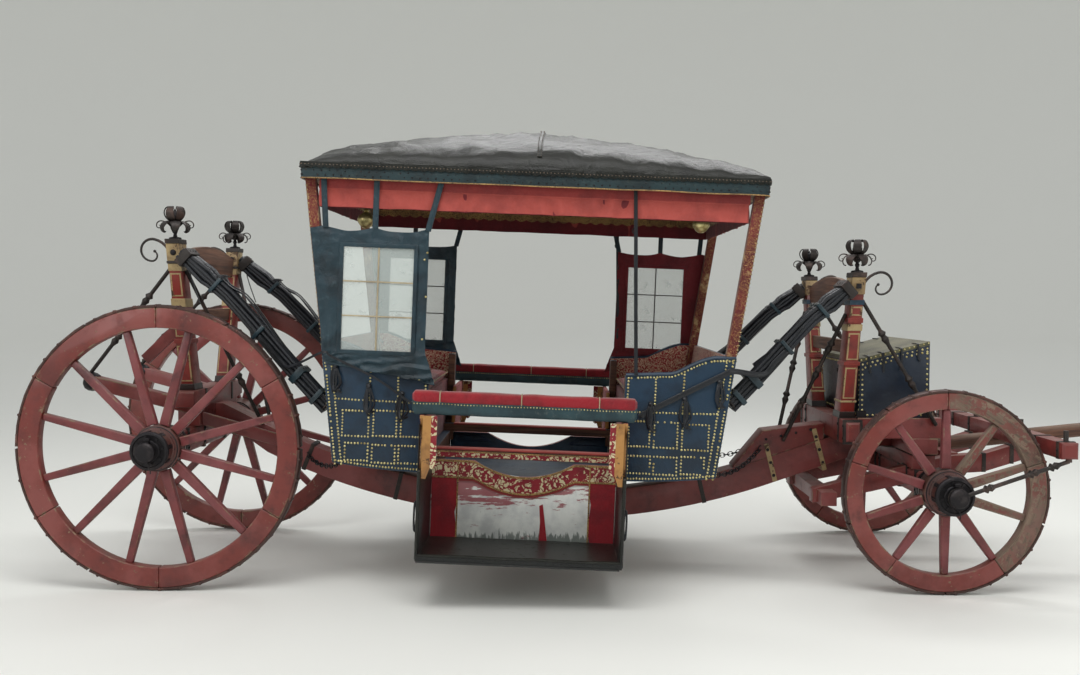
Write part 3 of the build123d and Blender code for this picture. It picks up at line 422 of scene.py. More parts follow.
def makeMaterials():
    timber = (140, 116, 92)
    for name, paint, shade, bare, wear, chips, rough, bloom in (
            ("redWood", (114, 44, 40), (76, 32, 30), timber, 0.5, 0.3, 0.42, (132, 68, 66)),
            ("felloeRed", (112, 45, 38), (80, 36, 33), timber, 0.45, 0.4, 0.4, (134, 71, 66)),
            ("spokeRed", (110, 46, 46), (70, 32, 34), timber, 0.42, 0.25, 0.4, (126, 66, 68)),
            ("fadedWood", (112, 58, 50), (84, 60, 50), (128, 108, 92), 0.8, 0.85, 0.5, (116, 92, 80)),
            ("naveWood", (82, 40, 34), (46, 32, 28), (118, 84, 62), 0.5, 0.4, 0.42, None),
            ("postRed", (128, 40, 32), (74, 28, 26), (104, 72, 50), 0.55, 0.35, 0.42, None),
            ("darkPaint", (46, 36, 34), (30, 26, 26), (104, 74, 54), 0.6, 0.3, 0.42, None),
            ("ochrePaint", (172, 124, 66), (130, 88, 48), (96, 68, 46), 0.45, 0.55, 0.5, None),
            ("creamPaint", (168, 146, 104), (120, 94, 62), (84, 60, 42), 0.55, 0.6, 0.5, None)):
        paintedWood(name, paint, shade, bare, wear, chips, rough, bloom)
    bareWood("greyWood", (142, 122, 104), (84, 68, 58))
    bareWood("brownWood", (112, 72, 48), (62, 38, 28))
    bareWood("paleWood", (150, 120, 86), (96, 70, 48))
    wroughtIron("iron", (58, 54, 52), (96, 60, 44), (132, 126, 120))
    wroughtIron("tyreIron", (74, 56, 52), (110, 62, 50), (142, 130, 124), rusty=0.6, metal=0.6)
    wroughtIron("naveIron", (40, 38, 40), (58, 42, 38), (110, 106, 104), rusty=0.3)
    for name, base, shade, worn, given in (
            ("darkLeather", (30, 50, 58), (18, 30, 36), (84, 96, 98), dict(rough=0.42, coat=0.15)),
            ("blueLeather", (40, 66, 84), (24, 42, 58), (96, 112, 118), dict(rough=0.5)),
            ("blackLeather", (23, 26, 26), (13, 14, 15), (80, 76, 70),
             dict(rough=0.42, dust=0.05, coat=0.1)),
            ("roofLeather", (27, 28, 23), (14, 15, 12), (60, 60, 50),
             dict(rough=0.33, scale=0.8, wear=0.35, dust=0.03, depth=0.009, gloss=0.3)),
            ("strapLeather", (22, 25, 31), (12, 14, 18), (58, 58, 60),
             dict(rough=0.34, scale=2.0, wear=0.12, dust=0.04, coat=0.08)),
            ("chestLeather", (20, 32, 48), (12, 20, 32), (60, 70, 78), dict(rough=0.4, dust=0.1, coat=0.1)),
            ("quarterLeather", (21, 47, 68), (12, 28, 43), (56, 84, 98),
             dict(rough=0.42, coat=0.05, wear=0.35, dust=0.1)),
            ("curtainLeather", (26, 50, 60), (13, 26, 33), (78, 100, 106),
             dict(rough=0.36, wear=0.6, depth=0.012, dust=0.08)),
            ("bandLeather", (30, 50, 54), (18, 30, 34), (84, 92, 84), dict(rough=0.5, scale=1.4, wear=0.6)),
            ("tealLeather", (40, 66, 72), (24, 42, 48), (110, 112, 104),
             dict(rough=0.55, scale=1.6, wear=0.8)),
            ("oliveLeather", (92, 90, 66), (60, 60, 44), (140, 134, 104), dict(rough=0.55, wear=0.6))):
        oldLeather(name, base, shade, worn, **given)
    for name, base, shade, thread, given in (
            ("scrollCloth", (128, 22, 36), (92, 14, 26), (160, 56, 62),
             dict(pattern=(198, 188, 150), scale=10.5, fill=0.6, sheen=0.2)),
            ("salmonCloth", (162, 66, 58), (128, 46, 42), (180, 94, 84), dict(sheen=0.15)),
            ("madderCloth", (136, 46, 44), (104, 32, 34), (158, 72, 66), dict(sheen=0.12)),
            ("oldLinen", (168, 152, 122), (126, 108, 84), (190, 178, 150), dict(sheen=0.1)),
            ("navyBraid", (22, 40, 70), (14, 26, 46), (50, 70, 98), dict(sheen=0.2)),
            ("burgundyCloth", (104, 24, 32), (66, 14, 22), (140, 50, 54), dict(sheen=0.12)),
            ("redVelvet", (136, 18, 30), (92, 12, 22), (166, 46, 54),
             dict(sheen=0.35, rough=0.9, bare=(176, 84, 70), bareShare=0.15)),
            ("damask", (96, 24, 28), (60, 18, 22), (130, 48, 44),
             dict(pattern=(160, 122, 74), scale=44, fill=0.84, bare=(168, 138, 96), bareShare=0.42,
                  sheen=0.2)),
            ("brocade", (150, 30, 40), (104, 18, 28), (180, 70, 70),
             dict(pattern=(214, 190, 160), scale=26.0, gilt=0.12)),
            ("goldBraid", (184, 144, 84), (92, 62, 40), (220, 186, 122),
             dict(pattern=(48, 34, 30), scale=60.0, fill=0.55, gilt=0.3, threads=1800.0))):
        wovenCloth(name, base, shade, thread, **given)
    tornSilk("tornSilk")
    brassMetal("brass", (214, 202, 146), (142, 124, 76))
    oldGlass("oldGlass")


creaseAngle = radians(32)  # sharper edges than this stay sharp when shaded


def smoothUnder(bm):
    for edge in bm.edges:
        edge.smooth = not (len(edge.link_faces) == 2 and edge.calc_face_angle(0) > creaseAngle)


def settle(name, mesh, finishes, stand, body):  # a finished mesh becomes a piece of the coach
    for finish in finishes:
        mesh.materials.append(materials[finish])
    made = addObject(name, mesh)
    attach(made, body)
    if stand:
        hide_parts(*stand)
    return made


def finishPiece(name, mesh, finishes, stand=(), body="carriage", flat=False):
    bm = bmesh.new()
    bm.from_mesh(mesh)
    bmesh.ops.remove_doubles(bm, verts=bm.verts, dist=1e-5)
    bmesh.ops.recalc_face_normals(bm, faces=bm.faces)
    for face in bm.faces:
        face.smooth = not flat
    smoothUnder(bm)
    grainMap(bm)
    bm.to_mesh(mesh)
    bm.free()
    return settle(name, mesh, finishes, stand, body)


# parts are ((verts, faces), finish)
def mixedPiece(name, parts, stand=(), body="carriage", flat=False):
    verts, faces, marks, finishes = [], [], [], []
    for (partVerts, partFaces), finish in parts:
        if finish not in finishes:
            finishes.append(finish)
        shift = len(verts)
        verts += list(partVerts)
        faces += [tuple(i + shift for i in face) for face in partFaces]
        marks += [finishes.index(finish)] * len(partFaces)
    mesh = meshFrom(name, verts, faces)
    for polygon, mark in zip(mesh.polygons, marks):
        polygon.material_index = mark
    return finishPiece(name, mesh, finishes, stand, body, flat)


def newPiece(name, shape, finish, stand=(), body="carriage"):
    return mixedPiece(name, [(shape, finish)], stand, body)


def grainMap(bm):  # u runs along each loose part's longest direction
    layer = bm.loops.layers.uv.get("grain") or bm.loops.layers.uv.new("grain")
    seen = set()
    for first in bm.verts:
        if first.index in seen:
            continue
        island, queue = [], [first]
        seen.add(first.index)
        while queue:
            vert = queue.pop()
            island.append(vert)
            for edge in vert.link_edges:
                other = edge.other_vert(vert)
                if other.index not in seen:
                    seen.add(other.index)
                    queue.append(other)
        middle = sum((v.co for v in island), Vector()) / len(island)
        spread = Matrix(((0, 0, 0),) * 3)
        for d in (v.co - middle for v in island):
            for i in range(3):
                for j in range(3):
                    spread[i][j] += d[i] * d[j]
        axis = Vector((1, 0.3, 0.2)).normalized()
        for _ in range(12):
            axis = spread @ axis
            if axis.length < 1e-12:
                axis = Vector((1, 0, 0))
            axis.normalize()
        for vert in island:
            for loop in vert.link_loops:
                n = loop.face.normal
                if abs(n.dot(axis)) > 0.92:  # end grain
                    side = n.orthogonal().normalized()
                    loop[layer].uv = (vert.co.dot(side), vert.co.dot(n.cross(side)) + 3)
                else:
                    loop[layer].uv = (vert.co.dot(axis), vert.co.dot(n.cross(axis).normalized()))


def sleeve(count, around, closed=False):  # faces between rings of points, capped unless the rings close up
    faces = [(i * around + k, i * around + (k + 1) % around, (i + 1) % count * around + (k + 1) % around,
              (i + 1) % count * around + k) for i in range(count if closed else count - 1)
              for k in range(around)]
    if closed:
        return faces
    return faces + [tuple(reversed(range(around))), tuple((count - 1) * around + k for k in range(around))]


def perPoint(value, count):
    return value if hasattr(value, "__len__") else [value] * count


def tube(points, radii, sides=8, closed=False, squash=1.0, across=None):
    points = [Vector(p) for p in points]
    count = len(points)
    radii, verts, side = perPoint(radii, count), [], None
    for i, p in enumerate(points):
        before = points[i - 1] if i or closed else p
        after = points[(i + 1) % count] if i < count - 1 or closed else p
        along = (after - before).normalized()
        if across is not None:
            side = Vector(across)
        elif side is None:
            side = along.orthogonal()
        side = (side - along * side.dot(along)).normalized()
        up = along.cross(side)
        for k in range(sides):
            a = 2 * pi * k / sides
            verts.append(p + side * cos(a) * radii[i] + up * sin(a) * radii[i] * squash)
    return verts, sleeve(count, sides, closed)


# a flat strap along points; across is its width direction
def strip(points, widths, thick, across, crown=0.0):
    points = [Vector(p) for p in points]
    count = len(points)
    widths, verts = perPoint(widths, count), []
    profile = [(-0.5, -0.5), (-0.5, 0.2), (-0.42, 0.5), (0, 0.5 + crown), (0.42, 0.5), (0.5, 0.2),
               (0.5, -0.5), (0, -0.5)]
    for i, p in enumerate(points):
        along = (points[min(i + 1, count - 1)] - points[max(i - 1, 0)]).normalized()
        side = across(i) if callable(across) else Vector(across)
        side = (side - along * side.dot(along)).normalized()
        up = along.cross(side)
        verts += [p + side * a * widths[i] + up * b * thick for a, b in profile]
    return verts, sleeve(count, len(profile))


def hoop(middle, one, two, count):  # points round an oval
    return [middle + one * cos(2 * pi * q / count) + two * sin(2 * pi * q / count) for q in range(count)]


def lathe(profile, origin, axis, sides=24):  # profile rows are (radius, distance along axis)
    origin, axis = Vector(origin), Vector(axis).normalized()
    side = axis.orthogonal().normalized()
    up = axis.cross(side)
    verts, faces, rings = [], [], []
    for radius, reach in profile:
        middle = origin + axis * reach
        points = [middle] if radius < 1e-6 else hoop(middle, side * radius, up * radius, sides)
        rings.append(range(len(verts), len(verts) + len(points)))
        verts += points
    for low, high in zip(rings, rings[1:]):
        for k in range(sides if len(low) + len(high) > 2 else 0):
            m = (k + 1) % sides
            if len(low) == 1:
                faces.append((low[0], high[m], high[k]))
            elif len(high) == 1:
                faces.append((low[k], low[m], high[0]))
            else:
                faces.append((low[k], low[m], high[m], high[k]))
    return verts, faces


def turned(rows, origin, axis, sides=24):  # as lathe, with rows in mm
    return lathe([(r / 1000, d / 1000) for r, d in rows], origin, axis, sides)


def plate(corners, normal, thick):  # a prism on a flat outline, from the outline outwards along normal
    corners, normal = [Vector(c) for c in corners], Vector(normal).normalized()
    n = len(corners)
    faces = [tuple(reversed(range(n))), tuple(range(n, 2 * n))]
    faces += [(i, (i + 1) % n, (i + 1) % n + n, i + n) for i in range(n)]
    return corners + [c + normal * thick for c in corners], faces


def brick(centre, half, axes=None, ease=0.0):  # an oblong with eased edges
    x, y, z = axes or (Vector((1, 0, 0)), level, plumb)
    bm = bmesh.new()
    bmesh.ops.create_cube(bm, size=2)
    for v in bm.verts:
        v.co = Vector((v.co.x * half[0], v.co.y * half[1], v.co.z * half[2]))
    if ease:
        bmesh.ops.bevel(bm, geom=list(bm.edges), offset=ease, segments=2, affect="EDGES", profile=0.6)
    bm.verts.ensure_lookup_table()
    verts = [Vector(centre) + x * v.co.x + y * v.co.y + z * v.co.z for v in bm.verts]
    faces = [tuple(v.index for v in f.verts) for f in bm.faces]
    bm.free()
    return verts, faces


def bodyBrick(x, y, z, half, ease):
    return brick(onBody(x, y, z), [h / 1000 for h in half], (bodyX, level, bodyZ), ease / 1000)


def spaced(points, step):  # points set evenly along a broken line
    points, found = [Vector(p) for p in points], []
    for a, b in zip(points, points[1:]):
        count = max(1, round((b - a).length / step))
        found += [a + (b - a) * i / count for i in range(count)]
    return found + [points[-1]]


def smoothLine(points, steps=4):  # a rounded line through a few points
    points, found = [Vector(p) for p in points], []
    for i in range(len(points) - 1):
        p0, p1, p2, p3 = points[max(i - 1, 0)], points[i], points[i + 1], points[min(i + 2, len(points) - 1)]
        for k in range(steps):
            t = k / steps
            found.append(0.5 * (2 * p1 + (p2 - p0) * t + (2 * p0 - 5 * p1 + 4 * p2 - p3) * t * t
                                + (3 * p1 - 3 * p2 + p3 - p0) * t ** 3))
    return found + [points[-1]]


def table(rows, x):  # straight between the rows, and level past their ends
    for (x0, y0), (x1, y1) in zip(rows, rows[1:]):
        if x0 <= x <= x1:
            return y0 + (y1 - y0) * (x - x0) / (x1 - x0)
    return rows[-1][1] if x > rows[0][0] else rows[0][1]


def openSheet(verts, faces, facing, thick):  # one skin turned to face one way, then given its wall
    bm = bmesh.new()
    made = [bm.verts.new(v) for v in verts]
    for face in faces:
        bm.faces.new([made[i] for i in face])
    bmesh.ops.delete(bm, geom=[v for v in bm.verts if not v.link_faces], context="VERTS")
    bmesh.ops.recalc_face_normals(bm, faces=bm.faces)
    if sum(f.normal.dot(facing) for f in bm.faces) < 0:
        bmesh.ops.reverse_faces(bm, faces=bm.faces)
    area = sum(f.calc_area() for f in bm.faces)
    bmesh.ops.solidify(bm, geom=list(bm.faces), thickness=thick)
    return bm, area


# CAD nodes taken over with eased, worn edges; patch is (test, finish) for the faces of another finish
def takeOver(name, node, finish, ease=4, patch=None, segments=2, angle=30):
    bm = bmesh.new()
    bm.from_mesh(nodeObjects[node].data)
    bmesh.ops.remove_doubles(bm, verts=bm.verts, dist=2e-5)
    bmesh.ops.dissolve_limit(bm, angle_limit=radians(0.6), verts=bm.verts, edges=bm.edges)
    mesh = bpy.data.meshes.new(name)
    bm.to_mesh(mesh)
    bm.free()
    mesh.materials.clear()
    for _ in range(2):  # the bevel marks its own faces with the second slot
        mesh.materials.append(None)
    for polygon in mesh.polygons:
        polygon.material_index = 0
    rough = addObject(name + "Rough", mesh)
    bevel = rough.modifiers.new("ease", "BEVEL")
    bevel.width, bevel.segments, bevel.limit_method = ease / 1000, segments, "ANGLE"
    bevel.angle_limit, bevel.material, bevel.use_clamp_overlap = radians(angle), 1, True
    eased = bpy.data.meshes.new_from_object(rough.evaluated_get(bpy.context.evaluated_depsgraph_get()))
    bpy.data.objects.remove(rough)
    bm = bmesh.new()
    bm.from_mesh(eased)
    worn = bm.faces.layers.float.new("edge")
    for face in bm.faces:
        face[worn] = 1.0 if face.material_index == 1 else 0.0
        face.material_index = 1 if patch and patch[0](face.calc_center_median(), face.normal) else 0
        face.smooth = True
    smoothUnder(bm)
    grainMap(bm)
    final = bpy.data.meshes.new(name)
    bm.to_mesh(final)
    bm.free()
    finishes = [finish, patch[1]] if patch else [finish]
    return settle(name, final, finishes, [node], nodeObjects[node]["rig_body"])


# repeated small metal: node trees that set a head on each point, or links along a path
def makeHeadTree():
    g = NodeGroup("headsOnPoints", {"Geometry": "Geometry", "Radius": 0.006, "Height": 0.5, "Jitter": 0.1,
                                    "Seed": "Int", "Finish": "Material"},
                  {"Geometry": "Geometry"}, "GeometryNodeTree")
    ball = g.put("GeometryNodeMeshUVSphere", {"Segments": 8, "Rings": 5, "Radius": 1.0})
    facing = g.put("GeometryNodeInputNamedAttribute", {0: "facing"}, data_type="FLOAT_VECTOR")
    turn = g.put("FunctionNodeAlignRotationToVector", {"Vector": facing.outputs["Attribute"]})
    pick = g.put("FunctionNodeRandomValue", {"Min": g.minus(1.0, g["Jitter"]),
                                             "Max": g.plus(1.0, g["Jitter"]), "Seed": g["Seed"]},
                 data_type="FLOAT")
    size = g.times(next(s for s in pick.outputs if s.enabled), g["Radius"])
    scale = g.put("CombineXYZ", {0: size, 1: size, 2: g.times(size, g["Height"])})
    heads = g.put("GeometryNodeInstanceOnPoints", {"Points": g["Geometry"], "Instance": ball,
                                                   "Rotation": turn.outputs["Rotation"], "Scale": scale})
    real = g.put("GeometryNodeRealizeInstances", {0: heads})
    g.give(g.put("GeometryNodeSetMaterial", {"Geometry": real, "Material": g["Finish"]}))


def makeLinkTree():
    g = NodeGroup("linksOnPath", {"Geometry": "Geometry", "Link Length": 0.05, "Wire": 0.005,
                                  "Finish": "Material"}, {"Geometry": "Geometry"}, "GeometryNodeTree")
    spots = g.put("GeometryNodeCurveToPoints", {0: g["Geometry"], "Length": g.times(g["Link Length"], 0.74)},
                  mode="LENGTH")
    path = g.put("GeometryNodeCurvePrimitiveCircle", {"Resolution": 12,
                                                      "Radius": g.times(g["Link Length"], 0.5)})
    wire = g.put("GeometryNodeCurvePrimitiveCircle", {"Resolution": 6, "Radius": g["Wire"]})
    link = g.put("GeometryNodeTransform", {0: g.put("GeometryNodeCurveToMesh", {0: path, 1: wire}),
                                           "Scale": (0.62, 1.0, 1.0), "Rotation": (pi / 2, 0, 0)})
    links = g.put("GeometryNodeInstanceOnPoints", {"Points": spots, "Instance": link,
                                                   "Rotation": spots.outputs["Rotation"]})
    quarter = g.times(g.calc("MODULO", g.put("GeometryNodeInputIndex"), 2.0), pi / 2)
    twist = g.put("GeometryNodeRotateInstances", {0: links, "Rotation": g.put("CombineXYZ", {2: quarter})})
    real = g.put("GeometryNodeRealizeInstances", {0: twist})
    g.give(g.put("GeometryNodeSetMaterial", {"Geometry": real, "Material": g["Finish"]}))


def grown(name, data, treeName, given, body):  # runs a tree on some points or curves and keeps the mesh
    tree, carrier = groups[treeName], addObject(name + "Carrier", data)
    modifier = carrier.modifiers.new("grow", "NODES")
    modifier.node_group = tree
    for item in tree.interface.items_tree:
        if item.in_out == "INPUT" and item.name in given:
            modifier[item.identifier] = given[item.name]
    made = bpy.data.meshes.new_from_object(carrier.evaluated_get(bpy.context.evaluated_depsgraph_get()))
    bpy.data.objects.remove(carrier)
    made.name = name
    made.shade_smooth()
    return settle(name, made, [], (), body)


# spots: (point, facing)
def nailHeads(name, spots, radius, finish, height=0.5, jitter=0.12, seed=3, body="carriage"):
    mesh = meshFrom(name + "Spots", [p for p, _ in spots], [])
    facing = mesh.attributes.new("facing", "FLOAT_VECTOR", "POINT")
    for number, (_, n) in enumerate(spots):
        facing.data[number].vector = Vector(n).normalized()
    grown(name, mesh, "headsOnPoints", {"Radius": radius / 1000, "Height": height, "Jitter": jitter,
                                        "Seed": seed, "Finish": materials[finish]}, body)


def chain(name, paths, linkLong, wire, finish):
    curve = bpy.data.curves.new(name + "Path", "CURVE")
    curve.dimensions = "3D"
    for path in paths:
        spline = curve.splines.new("POLY")
        spline.points.add(len(path) - 1)
        for point, spot in zip(spline.points, path):
            point.co = (*spot, 1)
    grown(name, curve, "linksOnPath", {"Link Length": linkLong / 1000, "Wire": wire / 1000,
                                       "Finish": materials[finish]}, "carriage")


wheelSizes = {"rear": {"x": -2155, "radius": 780, "felloes": 6, "seed": 5},
              "front": {"x": 2120, "radius": 555, "felloes": 5, "seed": 9},
              "track": 765, "rim": 66, "gapDegrees": 0.5, "steps": 14}
# turned profiles are (radius, distance outwards) in mm
hub = {"wood": [(38, -165), (101, -165), (104.5, -158), (104.5, -128), (108, -112), (115.5, -88), (123, -62),
                (126.5, -48), (126.5, -40), (123.5, -36), (123.5, 36), (126.5, 39), (126.5, 46), (119, 50),
                (116, 56), (104, 60), (100, 64), (38, 64), (38, -165)],
       "collar": [(50, 58), (106, 58), (109, 62), (109, 72), (100.5, 76), (100.5, 126), (96, 131), (50, 131),
                  (50, 58)],
       "drum": [(50, 126), (100, 126), (103, 130), (104.5, 136), (104.5, 140), (104, 152), (98, 158),
                (88, 160), (84, 154), (60, 152), (54, 158), (48, 159), (45.5, 150), (45.5, 126), (50, 126)],
       "hoops": [(-160, 106, 22), (-124, 111.5, 12), (49, 121, 7)],  # place, radius, width
       "ribs": 8, "nails": 10}


def rayAt(angle):  # in a wheel's plane
    return Vector((cos(angle), 0, sin(angle)))


# the tyre's iron plates, nailed on over the joints of the felloes
def makeStrakes(tag, node, centre, out, row):
    verts, faces, spots = [], [], []
    radius, count, steps = row["radius"] / 1000, row["felloes"], wheelSizes["steps"]
    gap, half = wheelSizes["gapDegrees"], wheelSizes["rim"] / 2000
    rng = random.Random(row["seed"])
    for k in range(count):
        start = 90 + (k + 0.5) * 360 / count + gap
        stop = start + 360 / count - 2 * gap
        shift = len(verts)
        for i in range(steps + 1):
            a = radians(start + (stop - start) * i / steps)
            lift = 0.0012 * sin(i * 2.3 + k)
            for r, y in ((-0.0145, -half - 0.001), (-0.0145, half + 0.001), (-0.004, half + 0.0015),
                         (lift, half - 0.006), (lift, -half + 0.006), (-0.004, -half - 0.0015)):
                verts.append(centre + rayAt(a) * (radius + r) + out * y)
            if i % 2 == 1:
                for y in (-0.017, 0.017):
                    ray = rayAt(a + rng.uniform(-0.006, 0.006))
                    spots.append((centre + ray * (radius - 0.0005) + out * y, ray))
                for y in (-1, 1):  # clenched edges that show along the rim's side; they follow the last nail
                    if rng.random() < 0.85:
                        spots.append((centre + ray * (radius - 0.006) + out * y * (half + 0.001), out * y))
        faces += [tuple(n + shift for n in face) for face in sleeve(steps + 1, 6)]
    newPiece("strakes_" + tag, (verts, faces), "tyreIron", [node + "tyre"], tag + "_wheel")
    nailHeads("strakeNails_" + tag, spots, 9.5, "tyreIron", height=0.42, seed=4, body=tag + "_wheel")


def makeWheel(end, side):
    row, sign, tag = wheelSizes[end], -1 if side == "right" else 1, f"{end}_{side}"
    body, node = tag + "_wheel", f"wheel_{tag}_"
    centre = station(row["x"], sign * wheelSizes["track"], row["radius"])
    out = level * sign

    def turn(p):
        return degrees(atan2(p.z - centre.z, p.x - centre.x))

    # a later felloe and some spokes of each front wheel are of unpainted wood
    takeOver("felloes_" + tag, node + "felloes", "felloeRed", 7,
             (lambda p, n: end == "front" and (turn(p) % 360 < 84 or turn(p) % 360 > 306), "fadedWood"), 3)
    takeOver("spokes_" + tag, node + "spokes", "spokeRed", 12,
             (lambda p, n: end == "front" and -50 < turn(p) < 80, "fadedWood"), 3, 40)
    makeStrakes(tag, node, centre, out, row)
    # nave: wood with turned beads between iron hoops, and an iron drum outside
    newPiece("nave_" + tag, turned(hub["wood"], centre, out, 40), "naveWood", [node + "nave"],
             body)
    newPiece("naveCollar_" + tag, turned(hub["collar"], centre, out, 40), "naveWood", body=body)
    parts = [turned([(r - 6, at), (r, at + 1.5), (r, at + wide - 1.5), (r - 6, at + wide), (r - 6, at)],
                    centre, out, 40)
             for at, r, wide in hub["hoops"]]
    parts.append(turned(hub["drum"], centre, out, 40))
    for k in range(hub["ribs"]):  # ribs and wedge slots round the drum
        ray = rayAt(2 * pi * k / hub["ribs"] + 0.2)
        axes = (ray, out, out.cross(ray))
        parts.append(brick(centre + ray * 0.1005 + out * 0.106, (0.0045, 0.024, 0.011), axes, 0.0015))
        parts.append(brick(centre + ray * 0.072 + out * 0.155, (0.011, 0.003, 0.006), axes, 0.001))
    mixedPiece("naveIron_" + tag, [(part, "naveIron") for part in parts], body=body)
    rays = [rayAt(2 * pi * k / hub["nails"]) for k in range(hub["nails"])]
    nailHeads("naveNails_" + tag, [(centre + ray * r + out * y, ray) for ray in rays
                                   for r, y in ((0.109, 0.067), (0.104, 0.146), (0.106, -0.149))],
              5.5, "naveIron", body=body)


axleEnd = {"washer": [(39.2, 4), (58, 4), (60, 7), (58, 10), (39.2, 10), (39.2, 4)],
           "cap": [(0, 34), (49, 34), (52, 37), (52, 55), (44, 62), (20, 65.5), (0, 65.5)],
           "thong": [(4, 18, -56), (12, 26, -78), (18, 20, -100), (16, 14, -116)], "reach": 925}


def makeAxleEnds():
    for end, body in (("rear", "carriage"), ("front", "fore_carriage")):
        parts = []
        for sign in (-1, 1):
            tip, out = (station(wheelSizes[end]["x"], sign * axleEnd["reach"], wheelSizes[end]["radius"]),
                        level * sign)
            # washer and cap, the linchpin through the arm, and its hanging thong
            parts += [turned(axleEnd["washer"], tip, out, 24), turned(axleEnd["cap"], tip, out, 20),
                      brick(tip + out * 0.016 + plumb * 0.004, (0.009, 0.006, 0.066), None, 0.002),
                      brick(tip + out * 0.017 + plumb * 0.066, (0.015, 0.009, 0.009), None, 0.003),
                      tube([tip + Vector((x, sign * y, z)) / 1000 for x, y, z in axleEnd["thong"]],
                           0.0035, 6)]
        mixedPiece(f"linchpins_{end}", [(part, "naveIron") for part in parts], body=body)


armEnd = {"tip": (-2705, 372, 1112), "inner": (-2110, 345, 960),
          "knob": [(0, -50), (47, -48), (54, -30), (56, -8), (50, 12), (34, 26), (14, 33), (0, 34)]}
timbers = {  # by slot: piece, CAD node, finish, easing in mm
    "red_wood": [("perchBeam", "perch", "redWood", 8), ("perchCapBeam", "perch_cap", "redWood", 7),
                 ("rearAxleBeam", "rear_axle", "redWood", 5), ("frontAxleBeam", "front_axle", "redWood", 5),
                 ("rearBolsterBeam", "rear_bolster", "redWood", 6),
                 ("rearArmBeams", "rear_arms", "redWood", 7), ("rearHoundBars", "rear_hounds", "redWood", 6),
                 ("frontTransomBeam", "front_transom", "redWood", 6),
                 ("frontArmBeams", "front_arms", "redWood", 6),
                 ("foreBolsterBeam", "fore_bolster", "redWood", 4),
                 ("futchellBars", "futchells", "redWood", 2), ("splinterBeam", "splinter_bar", "redWood", 5),
                 ("rearPostBars", "rear_posts", "postRed", 6),
                 ("frontPostBars", "front_posts", "postRed", 6)],
    "bare_wood": [("pole", "draught_pole", "brownWood", 2),
                  ("rearBoards", "rear_cross_boards", "brownWood", 5),
                  ("frontBoards", "front_cross_boards", "brownWood", 5),
                  ("roofTimbers", "roof_frame", "paleWood", 4),
                  ("floorBoards", "body_floor", "brownWood", 4),
                  ("benchBoxes", "bench_boxes", "burgundyCloth", 5)],
    "iron": [("kingBolt", "perch_bolt", "iron", 3), ("rearStayRods", "rear_stays", "iron", 1),
             ("frontStayRods", "front_stays", "iron", 1), ("hubStayRods", "hub_stays", "iron", 1)],
    "red_cloth": [("cornerPosts", "corner_pillars", "damask", 5)],
    "ochre_wood": [("bootSides", "boot_side_boards", "madderCloth", 4)],
    "blue_leather": [("quarterLeather_right", "quarter_panels_right", "quarterLeather", 5),
                     ("quarterLeather_left", "quarter_panels_left", "quarterLeather", 5),
                     ("endLeather", "end_panels", "quarterLeather", 4)],
    "black_leather": [("bootTrays", "boot_trays", "blackLeather", 4),
                      ("chestShell", "chest", "chestLeather", 4),
                      ("chestLidShell", "chest_lid", "oliveLeather", 4)]}


def makeTimbers():  # the CAD nodes that only need their finish, some with ironed or lined faces
    plateFoot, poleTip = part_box("fore_bolster")[1].z - 0.009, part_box("draught_pole")[1].x - 0.09
    arms = (lambda p, n: abs(p.y) > 0.6, "naveIron")
    patches = {"rear_axle": arms, "front_axle": arms, "fore_bolster": (lambda p, n: p.z > plateFoot, "iron"),
               "splinter_bar": (lambda p, n: p.z > 0.845, "iron"),
               "draught_pole": (lambda p, n: p.x > poleTip, "iron"),
               "quarter_panels_right": (lambda p, n: n.y > 0.7, "brocade"),
               "quarter_panels_left": (lambda p, n: n.y < -0.7, "brocade"),
               "end_panels": (lambda p, n: n.x * (p.x + 1.35) < -0.3, "brocade"),
               "body_floor": (lambda p, n: n.z > 0.7, "quarterLeather"),
               "boot_side_boards": (lambda p, n: abs(n.y) > 0.6 or n.z < -0.7, "ochrePaint")}
    for slot, rows in timbers.items():
        for name, node, finish, ease in rows:
            takeOver(name, node, finish, ease, patches.get(node))
    caps = []
    for sign in (-1, 1):  # iron knobs on the hind arms' ends
        tip, inner = (station(x, sign * y, z) for x, y, z in (armEnd["tip"], armEnd["inner"]))
        caps.append((turned(armEnd["knob"], tip, tip - inner, 20), "naveIron"))
    mixedPiece("armKnobs", caps)
    glass = nodeObjects["window_glass"].data.materials
    glass.clear()
    glass.append(materials["oldGlass"])


